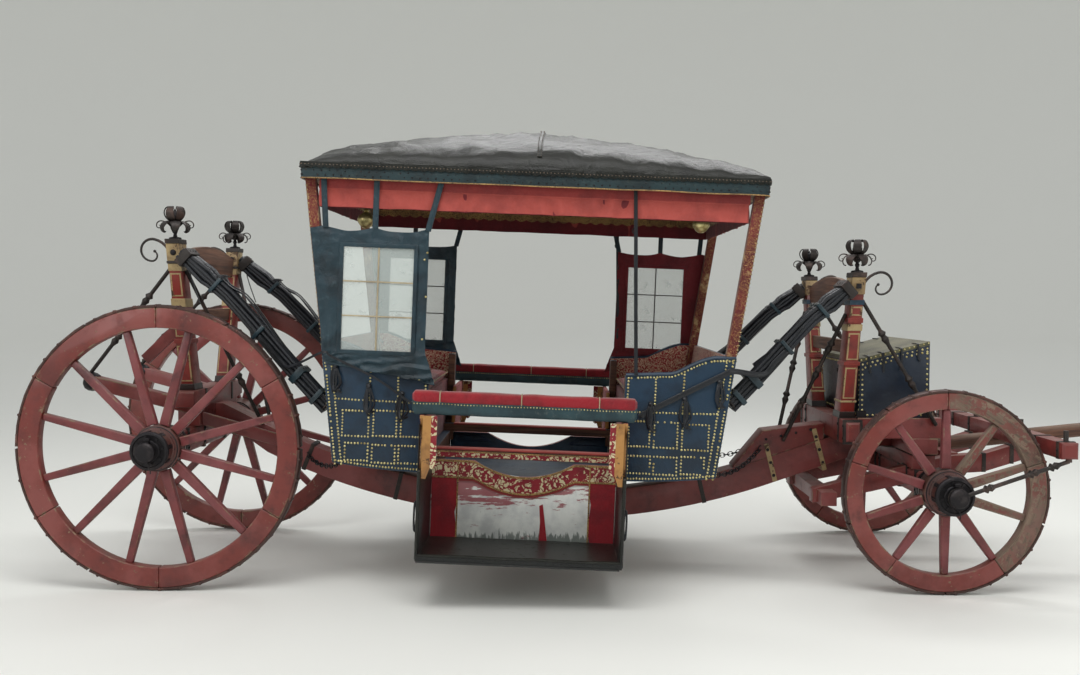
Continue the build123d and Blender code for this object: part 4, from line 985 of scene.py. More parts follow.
postSizes = {  # blocks are (low, high, stands out, finish); panels are (low, high)
    "rear": {"x": -2130, "foot": 1060, "top": 1925, "out": -1, "bolt": 1851, "turn": 7,
             "blocks": [(1900, 1926, 6, "iron"), (1804, 1900, 3, "creamPaint"), (1789, 1804, 6, "darkPaint"),
                        (1748, 1789, 2, "creamPaint"), (1545, 1593, 3, "creamPaint"),
                        (1335, 1362, 7, "postRed"), (1061, 1098, 4, "darkPaint")],
             "panels": [(1600, 1742), (1108, 1328), (1370, 1536)]},
    "front": {"x": 1690, "foot": 912, "top": 1745, "out": 1, "bolt": 1670, "turn": 0,
              "blocks": [(1719, 1746, 6, "iron"), (1624, 1719, 3, "creamPaint"),
                         (1565, 1593, 4, "blueLeather"), (1464, 1492, 5, "postRed"),
                         (1419, 1456, 4, "creamPaint"), (1220, 1243, 6, "postRed"),
                         (1004, 1016, 4, "creamPaint"), (913, 950, 4, "darkPaint")],
              "panels": [(1500, 1562), (1248, 1412), (1022, 1214)]},
    "footY": 320, "topY": 552, "footSize": (84, 136), "topSize": (68, 112),
    "fields": ((0.006, 0.002, "creamPaint"), (0.014, 0.0035, "postRed")),  # inset, thickness, finish
    "boltHead": [(17, -2), (17, 3), (13, 9), (6, 12), (0, 12)],
    "scrollBead": [(0, -9), (6, -7), (9, 0), (6, 7), (0, 9)]}


def postRing(end, sign, z, grow=0.0):
    row = postSizes[end]
    t = (z - row["foot"]) / (row["top"] - row["foot"])
    y = postSizes["footY"] + (postSizes["topY"] - postSizes["footY"]) * t
    hx, hy = ((a + (b - a) * t) / 2 + grow for a, b in zip(postSizes["footSize"], postSizes["topSize"]))
    return [station(row["x"] + i * hx, sign * y + j * hy, z)
            for i, j in ((-1, -1), (1, -1), (1, 1), (-1, 1))]


def postBlock(end, sign, low, high, grow):
    rings = ((low, grow - 2), (low + 2, grow), (high - 2, grow), (high, grow - 2))
    return [p for z, out in rings for p in postRing(end, sign, z, out)], sleeve(4, 4)


finialShape = {  # lines are (reach, height) in mm
    "stem": [(34, 0), (34, 9), (26, 12), (12, 15), (9, 30), (13, 40), (13, 46), (9, 52), (10, 66), (18, 74),
             (10, 84), (10, 96), (20, 104), (27, 118), (27, 134), (20, 148), (8, 158), (5, 168), (0, 170)],
    "leaves": [([(8, 62), (24, 88), (46, 98), (68, 88), (80, 66), (74, 46), (62, 42)],
                [16, 38, 52, 52, 42, 26, 10], 0),
               ([(10, 98), (30, 104), (50, 124), (58, 150), (50, 174), (34, 182), (28, 172)],
                [14, 32, 44, 46, 38, 26, 12], 30)],
    "tendril": [(10, 60), (44, 92), (78, 104), (100, 92), (102, 72), (88, 64), (80, 74), (88, 80)]}


def finial(origin, lean):
    parts = [(turned(finialShape["stem"], origin, plumb, 20), "naveIron")]
    for points, wides, start in finialShape["leaves"]:
        for k in range(6):
            ray = Matrix.Rotation(radians(start + 60 * k + lean), 3, "Z") @ Vector((1, 0, 0))
            flare = 1 + 0.08 * sin(k * 2.7 + lean)
            line = smoothLine([origin + (ray * r * flare + plumb * z) / 1000 for r, z in points])
            widths = [table(list(enumerate(wides)), i / 4) / 1000 for i in range(len(line) - 1)]
            widths.append(wides[-2] / 1000)  # the tip ends blunt
            parts.append((strip(line, widths, 0.0035, plumb.cross(ray), 0.8), "iron"))
    for s in (-1, 1):
        line = smoothLine([origin + Vector((s * x, 4 * s, z)) / 1000 for x, z in finialShape["tendril"]])
        parts.append((tapered(line, 0.0042, 0.0022, 6), "iron"))
    return parts


def tapered(line, thick, loss, sides):
    return tube(line, [thick - loss * i / len(line) for i in range(len(line))], sides)


def scrollLine(end, sign):
    row = postSizes[end]
    out = row["out"]
    x, y, z = row["x"] + out * 35.2, sign * 536, row["top"] - 78
    points = [station(x, y, z)]
    x, z, heading = x + out * 10, z + 18.8, 62.0
    for radius, turn in ((120, 50), (62, 190), (30, 150)):
        a = radians(heading + 90)
        steps = int(turn / 11)
        for i in range(steps + 1):
            b = a - radians(turn * i / steps)
            here = (x + out * radius * (cos(b) - cos(a)), z + radius * (sin(b) - sin(a)))
            points.append(station(here[0], y, here[1]))
        x, z, heading = *here, heading - turn
    return points[:1] + [p for p, q in zip(points[1:], points[2:]) if (p - q).length > 1e-5] + points[-1:]


def makePostTrim():
    for end in ("rear", "front"):
        row, trim, irons = postSizes[end], [], []
        for sign in (-1, 1):
            trim += [(postBlock(end, sign, low, high, grow), finish)
                     for low, high, grow, finish in row["blocks"]]
            # the two broad faces, by their corners in postRing
            for face, one, two in ((-1, 0, 1), (1, 3, 2)):
                for low, high in row["panels"]:  # sunk panels, cream lines round a red field
                    (a, c), (b, d) = ((ring[one], ring[two])
                                      for ring in (postRing(end, sign, z) for z in (low, high)))
                    inward, up = (c - a).normalized(), (b - a).normalized()
                    normal = inward.cross(up) * -face
                    for edge, thick, finish in postSizes["fields"]:
                        corners = [a + (inward + up) * edge, c + (up - inward) * edge,
                                   d - (inward + up) * edge, b + (inward - up) * edge]
                        trim.append((plate(corners, normal if normal.y * face > 0 else -normal, thick),
                                     finish))
                ring = postRing(end, sign, row["bolt"], 3)
                middle = (ring[one] + ring[two]) / 2
                head = (turned(postSizes["boltHead"], middle, level * face, 12) if end == "rear"
                        else brick(middle + level * face * 0.004, (0.014, 0.006, 0.014), None, 0.002))
                trim.append((head, "naveIron"))
            irons += finial(station(row["x"], sign * 556, row["top"]), 15 * sign + row["turn"])
            line = scrollLine(end, sign)
            foot = line[0] + Vector((-row["out"] * 0.002, 0, -0.012))
            irons += [(tapered(line, 0.0085, 0.0045, 8), "iron"),
                      (turned(postSizes["scrollBead"], line[-1], level, 10), "iron"),
                      (brick(foot, (0.005, 0.014, 0.034), None, 0.002), "iron")]
        mixedPiece(f"{end}PostTrim", trim)
        mixedPiece(f"{end}Finials", irons, [f"{end}_post_irons"])


braceSizes = {"rear": {"foot": (55, 690, 325),
                       "upper": [(-2070, 1868), (-1967, 1790), (-1890, 1716), (-1855, 1712), (-1799, 1660),
                                 (-1710, 1606), (-1600, 1466), (-1500, 1326)]},
              "front": {"foot": (75, 690, 425),
                        "upper": [(1645, 1694), (1535, 1624), (1478, 1548), (1440, 1540), (1386, 1494),
                                  (1293, 1372), (1200, 1300), (1105, 1228)]},
              "bow": [(0, 0), (0.3, 26), (0.65, 14), (1, 0)],
              "steps": 30, "lanes": 30, "postY": 552, "layers": 4,
              "keepers": ((0.035, (0.026, 0.054, 0.05), "iron"), (0.24, (0.011, 0.052, 0.05), "darkLeather"),
                          (0.55, (0.011, 0.052, 0.05), "darkLeather"),
                          (0.82, (0.02, 0.054, 0.051), "darkLeather"),
                          (0.94, (0.014, 0.054, 0.05), "darkLeather")),
              "thong": ((18, 0, -118), (34, 6, -180), (78, -4, -300))}


def braceEnds(end, sign, lane=0):  # where a brace leaves its post, and where it takes the body
    post, (footOut, footY, footZ) = postSizes[end], braceSizes[end]["foot"]
    return (station(post["x"] - post["out"] * 37, sign * braceSizes["postY"] + lane, post["top"] - 75),
            onBody(post["out"] * (bodyPlace["halfLong"] + footOut), sign * footY + lane, footZ))


def makeBraces():
    parts, spots = [], []
    rng, steps = random.Random(31), braceSizes["steps"]
    for end in ("rear", "front"):
        for sign in (-1, 1):
            for k in (-1, 0, 1):
                a, b = braceEnds(end, sign, k * braceSizes["lanes"])
                along = (b - a).normalized()
                side = plumb.cross(along).normalized()
                up = along.cross(side)
                drift, line = rng.uniform(-4, 4), []
                for t in (i / steps for i in range(steps + 1)):
                    fade = sin(pi * t)
                    lift = table(braceSizes["bow"], t) + fade * (drift + 3.5 * sin(9 * t + 2 * k))
                    line.append(a + (b - a) * t + up * lift / 1000 + side * fade * 0.003 * sin(7 * t + k))
                for layer in range(braceSizes["layers"]):
                    roll = []
                    for i, p in enumerate(line):
                        pinch = 1 - 0.25 * cos(pi * i / 6) if i < 6 else 1  # drawn together at the post
                        rise = (layer - 1.5) * 0.0215 * pinch + 0.0035 * sin(6 * i / steps + layer * 1.9 + k)
                        roll.append(p + up * rise + side * 0.003 * sin(4 * i / steps + layer * 2.3))
                    parts.append((tube(roll, 0.0128, 8), "strapLeather"))
                if k == 0:
                    for share, size, finish in braceSizes["keepers"]:
                        at = line[int(share * steps)]
                        parts.append((brick(at, size, (along, side, up), 0.005), finish))
                        spots += [(at + up * (size[2] + 0.0005) + side * y, up) for y in (-0.03, 0, 0.03)]
                    parts.append((tube(hoop(b - along * 0.006, side * 0.05, up * 0.03, 12), 0.006, 6,
                                       closed=True), "iron"))
            # the lighter strap above, kinked at its buckle
            trail, y0, y1 = braceSizes[end]["upper"], sign * 556, sign * 640
            for lane in (-1, 1):
                line = smoothLine([station(x, y0 + (y1 - y0) * i / 7 + lane * 15, z + lane * 4)
                                   for i, (x, z) in enumerate(trail)])
                tips = [Vector((0.35 * sin(i * 0.4 + lane), 1, 0.5 * sin(i * 0.27))).normalized()
                        for i in range(len(line))]
                parts.append((strip(line, 0.024, 0.006, lambda i, w=tips: w[i], 0.3), "strapLeather"))
            knot = station(trail[3][0], (y0 + y1) / 2 * 0.98, trail[3][1])
            parts.append((brick(knot, (0.02, 0.034, 0.014), None, 0.006), "strapLeather"))
            for shift in (-0.018, 0.02):
                ring = hoop(knot + Vector((shift, 0, 0.004)), Vector((0.012, 0, 0)), level * 0.036, 10)
                parts.append((tube(ring, 0.0032, 6, closed=True), "naveIron"))
            if end == "rear":
                thong = [station(trail[0][0] + x, y0 + y, trail[0][1] + z)
                         for x, y, z in braceSizes["thong"]]
                parts.append((strip(smoothLine(thong, 5), 0.011, 0.004, level), "strapLeather"))
    mixedPiece("braceStraps", parts, ["braces"])
    nailHeads("braceNails", spots, 5, "naveIron")


def sagging(a, b, drop, count=16):
    shares = [i / count for i in range(count + 1)]
    return [a.lerp(b, t) - plumb * drop / 1000 * 4 * t * (1 - t) for t in shares]


bandSizes = {  # places in mm, half sizes in m
    "cap": [(1318, 604, 13.9, 0.118), (1612, 685, 15.2, 0.130)],  # x, z, slope, half height
    "perch": {"x": (-1500, -950, 350, 900), "z": 335, "radius": 4000},
    # x, z, the band's ys, its half size, and the bolts' offset in x and heights
    "carriage": [(-2155, 780, (-480, -200, 200, 480), (0.0655, 0.015, 0.0735), 65.5, (-40, 40)),
                 (-2130, 1007, (-250, 250), (0.0685, 0.016, 0.0545), 0, ()),
                 (1690, 846, (-505, -395, 395, 505), (0.0535, 0.014, 0.0695), 53.5, (-35, 35))],
    "fore_carriage": [(2120, 555, (-480, -180, 180, 480), (0.0655, 0.015, 0.0735), 65.5, (-40, 40)),
                      (2715, 800, (-870, -600, -330, 330, 600, 870), (0.0465, 0.014, 0.0465), 46.5, (0,)),
                      (2060, 579, (-300, 300), (0.012, 0.042, 0.0555), 0, ()),
                      (2500, 650, (-300, 300), (0.012, 0.042, 0.0555), 0, ()),
                      (2660, 699, (-300, 300), (0.012, 0.042, 0.0555), 0, ())]}


def sloped(a):  # axes for a band on a timber that rises at an angle
    return rayAt(a), level, Vector((-sin(a), 0, cos(a)))


def makeIrons():
    parts, spots, perch = [], [], bandSizes["perch"]
    for x, z, lean, half in bandSizes["cap"]:  # the painted bands round perch and cap
        axes = sloped(radians(lean))
        parts.append((brick(station(x, 0, z), (0.014, 0.0795, half), axes, 0.002), "creamPaint"))
        spots += [(station(x, s * 79.5, z) + axes[2] * d / 1000, level * s) for s in (-1, 1)
                  for d in (-80, 0, 80)]
    for x in perch["x"]:
        middle = perch["z"] + perch["radius"] - sqrt(perch["radius"] ** 2 - x ** 2)
        axes = sloped(asin(x / perch["radius"]))
        parts.append((brick(station(x, 0, middle), (0.013, 0.0775, 0.0845), axes, 0.002), "iron"))
    for body, name, radius in (("carriage", "carriage", 10), ("fore_carriage", "foreCarriage", 9)):
        for x, z, ys, half, out, heights in bandSizes[body]:
            parts += [(brick(station(x, y, z), half, None, 0.002), "iron") for y in ys]
            spots += [(station(x + s * out, y, z + d), (s, 0, 0)) for y in ys for s in (-1, 1)
                      for d in heights]
        if body == "carriage":  # bolts along the joint of cap and perch
            spots += [(station(1560 - 90 * k, s * 75, 806 - 20 * k), level * s) for k in range(4)
                      for s in (-1, 1)]
        mixedPiece(name + "Bands", parts, body=body)
        nailHeads(name + "Bolts", spots, radius, "naveIron", height=0.55, body=body)
        parts, spots = [], []
    for sign in (-1, 1):  # a plank slants from each hind arm to its post, and chains hang under the body
        a, b = station(-2385, sign * 352, 1236), station(-2178, sign * 400, 1418)
        along = (b - a).normalized()
        side = along.cross(level).normalized()
        half = ((b - a).length / 2, 0.012, 0.032)
        newPiece(f"slantPlank_{sign + 1}", brick((a + b) / 2, half, (along, side.cross(along), side), 0.003),
                 "redWood")
        chain(f"bodyChain_{sign + 1}",
              [sagging(onBody(1000, sign * 560, 30), station(1250, sign * 84, 690), 70),
               sagging(onBody(-1000, sign * 560, 30), station(-1500, sign * 84, 640), 60)],
              46, 4.2, "naveIron")


chestSizes = {"back": 1752, "front": 2150, "half": 420, "floor": 918, "backTop": 1235, "frontTop": 1335,
              "inset": 15, "step": 0.03, "thongs": (1800, 1880, 1985, 2080), "lock": 1165}


def makeChestTrim():
    c, spots = chestSizes, []
    g = c["inset"]
    low, back, front = c["floor"] + g, c["back"] + g, c["front"] - g
    for s in (-1, 1):
        for row in ([(back, low), (front, low), (front, c["frontTop"] - g - 3), (back, c["backTop"] - g + 3),
                     (back, low)],
                    [(back + 16, c["backTop"] - g - 14), (front, c["frontTop"] - g - 22)]):
            spots += [(p, level * s) for p in spaced([station(x, s * (c["half"] + 0.3), z) for x, z in row],
                                                     c["step"])]
    for x, top, n in ((c["back"], c["backTop"] - g, -1), (c["front"], c["frontTop"] - g, 1)):
        row = [(-405, low), (405, low), (405, top), (-405, top), (-405, low)]
        spots += [(p, (n, 0, 0)) for p in spaced([station(x + 0.3 * n, y, z) for y, z in row], c["step"])]
    nailHeads("chestNails", spots, 6.5, "brass")
    nailHeads("lidNails", [(p, level * s) for s in (-1, 1) for p in
                           spaced([station(1760, s * 420.4, 1248), station(2142, s * 420.4, 1347)], 0.028)],
              5, "brass", body="chest_lid_body")
    parts = []
    for k, x in enumerate(c["thongs"]):  # thongs that hang over the lid's edge
        z = 1236 + (x - c["back"]) * 0.2513 + 23
        trail = [(0, 330, 1), (0, 414, 2), (1, 426, -12), (3, 427, -60 - 12 * (k % 2)),
                 (12 - 8 * (k % 3), 430, -96 - 16 * (k % 3))]
        for s in (-1, 1):
            line = smoothLine([station(x + dx, s * y, z + dz) for dx, y, dz in trail])
            parts.append((strip(line, 0.013, 0.0035, (1, 0, 0)), "strapLeather"))
    mixedPiece("lidThongs", parts, body="chest_lid_body")
    ring = hoop(station(c["back"] - 12, 0, c["lock"]), level * 0.014, plumb * 0.014, 12)
    irons = [brick(station(c["back"] - 2, 0, c["lock"]), (0.003, 0.04, 0.05), None, 0.0015),
             tube(ring, 0.004, 6, True)]
    irons += [brick(station(x, s * 421, c["floor"] + 12), (0.026, 0.004, 0.03), None, 0.0015)
              for s in (-1, 1) for x in (1762, 2140)]
    mixedPiece("chestIrons", [(part, "naveIron") for part in irons])


def wobble(x, y, z):
    return noise.noise(Vector((x, y, z)))


def perimeter(halfX, halfY, step, corner=10):  # a level loop round the body: x, y, outward x, outward y
    loop = []
    for cx, cy, start in ((1, 1, 0), (-1, 1, 90), (-1, -1, 180), (1, -1, 270)):
        for a in (radians(start + 30 * k) for k in range(4)):
            loop.append((cx * (halfX - corner) + corner * cos(a), cy * (halfY - corner) + corner * sin(a),
                         cos(a), sin(a)))
    found = []
    for here, there in zip(loop, loop[1:] + loop[:1]):
        count = max(1, round(hypot(there[0] - here[0], there[1] - here[1]) / step))
        found += [tuple(p + (q - p) * k / count for p, q in zip(here, there)) for k in range(count)]
    return found


def hangingBand(name, loop, rows, thick, finish, stand=(), wave=None, hem=None, above=None):
    # rows are (z, out); wave(i, j) moves a point out, hem(i) lowers the last row, above is (z, finish)
    skins = ([], [])
    for j, (z, out) in enumerate(rows):
        for i, (x, y, nx, ny) in enumerate(loop):
            reach = out + (wave(i, j) if wave else 0)
            drop = hem(i) if hem and j == len(rows) - 1 else 0
            for skin, side in zip(skins, (0.5, -0.5)):
                skin.append(onBody(x + nx * reach, y + ny * reach, z + drop)
                            + (bodyX * nx + level * ny) * thick / 1000 * side)
    wide, shift = len(loop), len(skins[0])
    faces = []
    for i in range(wide):
        m = (i + 1) % wide
        for j in range(len(rows) - 1):
            a, b, c, d = j * wide + i, j * wide + m, (j + 1) * wide + m, (j + 1) * wide + i
            faces += [(a, b, c, d), (d + shift, c + shift, b + shift, a + shift)]
        last = (len(rows) - 1) * wide
        faces += [(m, i, i + shift, m + shift), (last + i, last + m, last + m + shift, last + i + shift)]
    mesh = meshFrom(name, skins[0] + skins[1], faces)
    if above:
        for polygon in mesh.polygons:
            high = (polygon.center - onBody(0, 0, 0)).dot(bodyZ) * 1000 > above[0]
            polygon.material_index = 1 if high else 0
    return finishPiece(name, mesh, [finish, above[1]] if above else [finish], stand)


roofSizes = {"halfLong": 1248.2, "halfWide": 848, "base": 1650, "crown": 1970, "eave": 1635,
             "bandLow": 1563, "foot": 1626,
             "along": [(0, 1), (0.28, 0.94), (0.45, 0.85), (0.61, 0.75), (0.8, 0.64), (0.94, 0.45),
                       (1, 0.08)],
             "across": [(0, 1), (0.25, 0.93), (0.5, 0.8), (0.7, 0.65), (0.86, 0.47), (0.94, 0.32),
                        (0.985, 0.2), (1, 0.05)],
             "grid": (80, 60), "easing": 6, "bowGap": 620, "thick": 0.005, "flat": (2.72, 2.12)}


def roofRise(u, v):
    r = roofSizes
    return (r["crown"] - r["base"]) * table(r["along"], abs(u)) * table(r["across"], abs(v))


# z with the creases of old leather; k counts the rows that hang at the rim
def creasedHeight(x, y, z, k, hull):
    r, spot = roofSizes, Vector((x / 1000, y / 1000, 0))
    radius, angle = hypot(x / 900, y / 700), atan2(y, x * 0.62)
    rumple = 20 * noise.fractal(spot * 4.2, 0.9, 2.1, 4)
    if k:
        return z + rumple * 0.4 * 0.15
    wave = sin(angle * 15 + 5 * noise.noise(spot * 2.4) + 2 * radius)
    fold = copysign(abs(wave) ** 1.6, wave) * min(radius * 1.4, 1.0) * (1.2 - min(radius, 1.15))
    sag = -7 * sin(pi * abs(x) / r["bowGap"]) ** 2 * (1 - min(1, abs(y) / 800) ** 4)
    ripple = 5 * sin(x / 31 + 2 * noise.noise(spot * 6)) * max(0.0, min(1.0, (abs(y) - 560) / 200))
    crease = sum(tall * (1 - abs(noise.noise(spot * near + Vector((near, 0, 0))))) ** 9
                 for near, tall in ((2.3, 13), (5.1, 7)))
    z += -14 + 18 * fold + sag + crease * min(radius * 1.6, 1.0) + rumple * 0.6 + ripple * 0.7
    bow = min(abs(x), abs(abs(x) - r["bowGap"]))
    return max(z, hull - 8 - 0.22 * max(0, bow - 40))  # the bows hold it up


def makeRoof():
    r = roofSizes
    us, vs = ([(-1, 3), (-1, 2), (-1, 1)] + [(sin(pi / 2 * (-1 + 2 * i / n)), 0) for i in range(n + 1)]
              + [(1, 1), (1, 2), (1, 3)] for n in r["grid"])
    grid = []
    for u, ku in us:
        for v, kv in vs:
            x, y, z, k = r["halfLong"] * u, r["halfWide"] * v, r["base"] + roofRise(u, v), max(ku, kv)
            z += (r["foot"] - z) * k / 3
            x += copysign(4, u) if ku else 0
            y += copysign(4, v) if kv else 0
            grid.append([x, y, z, k, z])
    wide = len(vs)
    for _ in range(r["easing"]):  # the leather eases over the bows' corners
        heights = [g[2] for g in grid]
        for n in (i * wide + j for i in range(4, len(us) - 4) for j in range(4, wide - 4)):
            near = heights[n - 1] + heights[n + 1] + heights[n - wide] + heights[n + wide]
            grid[n][2] = 0.5 * heights[n] + 0.125 * near
    verts = [onBody(x, y, creasedHeight(x, y, z, k, hull)) for x, y, z, k, hull in grid]
    faces = [(a, a + 1, a + wide + 1, a + wide) for i in range(len(us) - 1)
             for a in range(i * wide, i * wide + wide - 1)]
    bm, _ = openSheet(verts, faces, plumb, r["thick"])
    area = sum(f.calc_area() for f in bm.faces) / 2
    mesh = bpy.data.meshes.new("roofLeather")
    bm.to_mesh(mesh)
    bm.free()
    roof = finishPiece("roofLeather", mesh, ["roofLeather"], ["roof_cover"])
    halfLong, halfWide = r["halfLong"] + 5, r["halfWide"] + 5
    hangingBand("roofScallops", perimeter(halfLong, halfWide, 7.6), [(1648, 0), (1636, 1.5), (1624, 1.5)],
                3, "roofLeather", wave=lambda i, j: 1.2 * wobble(i * 0.11, j, 2),
                hem=lambda i: -9 * abs(sin(i * 0.52)) + 2 * wobble(i * 0.05, 0, 0))
    spots = [(onBody(x + nx * 3.4, y + ny * 3.4, 1633 + (i % 2) * 1.5), bodyX * nx + level * ny)
             for i, (x, y, nx, ny) in enumerate(perimeter(halfLong, halfWide, 19))]
    nailHeads("roofStitches", spots, 2.6, "greyWood", height=0.35)
    # the sewn joint over the middle, with its welt and stitches
    line = smoothLine([onBody(22 + 3 * sin(9 * v), r["halfWide"] * v, r["base"] + roofRise(0, v) + 3)
                       for v in (-0.98 + 1.96 * k / 24 for k in range(25))], 2)
    newPiece("roofWelt", strip(line, 0.026, 0.005, bodyX, 0.3), "roofLeather")
    nailHeads("weltStitches", [(p + bodyZ * 0.004 + bodyX * d, bodyZ) for p in spaced(line, 0.024)
                               for d in (-0.009, 0.009)], 2.4, "greyWood", height=0.4)


def makeBand():
    r = roofSizes
    outer = perimeter(r["halfLong"], r["halfWide"], 24)

    def hem(i):
        return 10 * wobble(i * 0.06, 4, 0) - 2
    rows = [(r["eave"] - 1 - 70 * j / 4, -3 if j == 2 else -5) for j in range(5)]
    hangingBand("leatherBand", outer, rows, 9, "bandLeather", ["roof_band"],
                lambda i, j: 2.2 * wobble(i * 0.05, j * 0.35, 0), hem)
    line = [onBody(x + nx * 0.5, y + ny * 0.5, r["bandLow"] + 1 + hem(i))
            for i, (x, y, nx, ny) in enumerate(outer)]
    newPiece("bandEdging", tube(line, 0.0034, 6, closed=True, across=bodyZ), "goldBraid")
    spots = [(onBody(x - nx * 3, y - ny * 3, (1580 if i % 2 else 1603) + 1.5 * sin(i)),
              bodyX * nx + level * ny)
             for i, (x, y, nx, ny) in enumerate(perimeter(r["halfLong"] + 3, r["halfWide"] + 3, 21))
             if (i * 7) % 11]  # two staggered rows, a few studs gone
    nailHeads("bandStuds", spots, 4.6, "naveIron", height=0.6, jitter=0.25)


valanceSizes = {"half": (1158, 798), "linings": (1149, 789), "braid": (1145, 785),
                "rows": [(1567, 0), (1545, 1), (1523, 2.5), (1516, 2), (1510, -2.5), (1490, -1), (1468, 0),
                         (1446, 0.5), (1428, 1), (1417, 1)],
                # the first key below is the fold's height; the valance above it is painted darker as shade
                "tuck": 1517, "knobs": ((-935, 1318), (925, 1366)),
                "knob": [(0, 0), (14, 1), (30, 12), (46, 36), (48, 52), (40, 70), (22, 84), (12, 92),
                         (17, 100), (9, 108), (0, 110)]}


def makeValance():
    v = valanceSizes
    # above the fold's height the valance cloth turns to the darker madderCloth: painted shade over its upper
    # third
    outside = hangingBand("valanceCloth", perimeter(*v["half"], 13, corner=14), v["rows"], 2,
                          "salmonCloth", ["valance"],
                          lambda i, j: (1.1 + 2.42 * j) * wobble(i * 0.22, j * 0.12, 0)
                          + (0.9 * sin(i * 0.55) if j > 2 else 0),
                          lambda i: 5 * wobble(i * 0.08, 9, 0), (v["tuck"], "madderCloth"))
    lining = hangingBand("valanceLining", perimeter(*v["linings"], 15, corner=10),
                         [(1567, 0), (1530, 0), (1490, 1), (1450, 0), (1414, 0)], 1.6, "burgundyCloth",
                         wave=lambda i, j: 2.4 * wobble(i * 0.2, j * 0.3, 5),
                         hem=lambda i: 4 * wobble(i * 0.1, 3, 1))
    hangingBand("valanceBraid", perimeter(*v["braid"], 6.5, corner=8), [(1552, 0), (1528, -1), (1500, 0)],
                1.6, "goldBraid", hem=lambda i: -13 * abs(sin(i * 0.28)))
    knobs = []
    for x, z in v["knobs"]:
        knobs.append((turned(v["knob"], onBody(x, -600, z), bodyZ, 20), "brass"))
        cord = [onBody(x, -600, z + 105), onBody(x + 2, -600, z + 170), onBody(x, -600, 1570)]
        knobs.append((tube(cord, 0.004, 6), "goldBraid"))
    mixedPiece("hangingKnobs", knobs)


curtainSizes = {"doorEdge": 555, "near": 630, "far": 1012, "low": 650, "high": 1207, "top": 1310,
                "foot": 490, "mid": 811, "inner": 806.0, "straps": (500, 845, 1130), "thick": 0.005,
                "flat": (0.69, 0.95),
                "buttons": ((560, 1188), (574, 1150), (560, 952), (572, 724), (580, 508))}


def cornerName(side, end):
    return ("Near" if side < 0 else "Far") + ("Rear" if end < 0 else "Front")


def curtainPoint(side, end, zone, s, band, t):  # zones run across, bands upwards; the pane is 1 of both
    c = curtainSizes
    z = (c["foot"] + (c["low"] - c["foot"]) * t, c["low"] + (c["high"] - c["low"]) * t,
         c["high"] + (c["top"] - c["high"]) * t)[band]
    edge = bodyPlace["halfLong"] + bodyPlace["lean"] * z - 8
    doorEdge = c["doorEdge"] - (60 * (1 - t) if band == 0 else 0)
    x = (doorEdge + (c["near"] - doorEdge) * s, c["near"] + (c["far"] - c["near"]) * s,
         c["far"] + (edge - c["far"]) * s)[zone]
    if band == 0:  # the gathered hem hangs lower towards the doorway
        hem = 470 + 108 * max(0.0, (x - 470) / 650) ** 0.8 + 9 * wobble(x * 0.012, side, end)
        z = hem + (c["low"] - hem) * t
    if band == 2:  # it hangs from its straps
        z += t * (8 * wobble(x * 0.008, 3 * side, end) + 4 - 24 * abs(sin((x - 556) * pi / 287)))
    crinkle = max(0.0, 1 - abs(wobble(x * 0.016 + 3, z * 0.011, side * 5 + end)) * 3.2)
    away = min(abs(x - c["near"]), abs(x - c["far"])) / 60 if band == 1 else 1.0
    folds = (5 * wobble(x * 0.021, z * 0.0035, side * 2 + end)
             + 5 * wobble(x * 0.012 + z * 0.009, z * 0.016 - x * 0.006, 4))
    fold = folds * min(1.0, away + 0.15) + 8 * crinkle ** 3 * min(1.0, away)
    roll = 9 * sin(z * 0.13 + x * 0.016 + 3 * wobble(x * 0.012, z * 0.02, 1)) + 10
    low = max(0.0, min(1.0, (c["low"] - z) / 110))
    return onBody(end * x, side * max(c["inner"], c["mid"] + fold + low * roll), z)


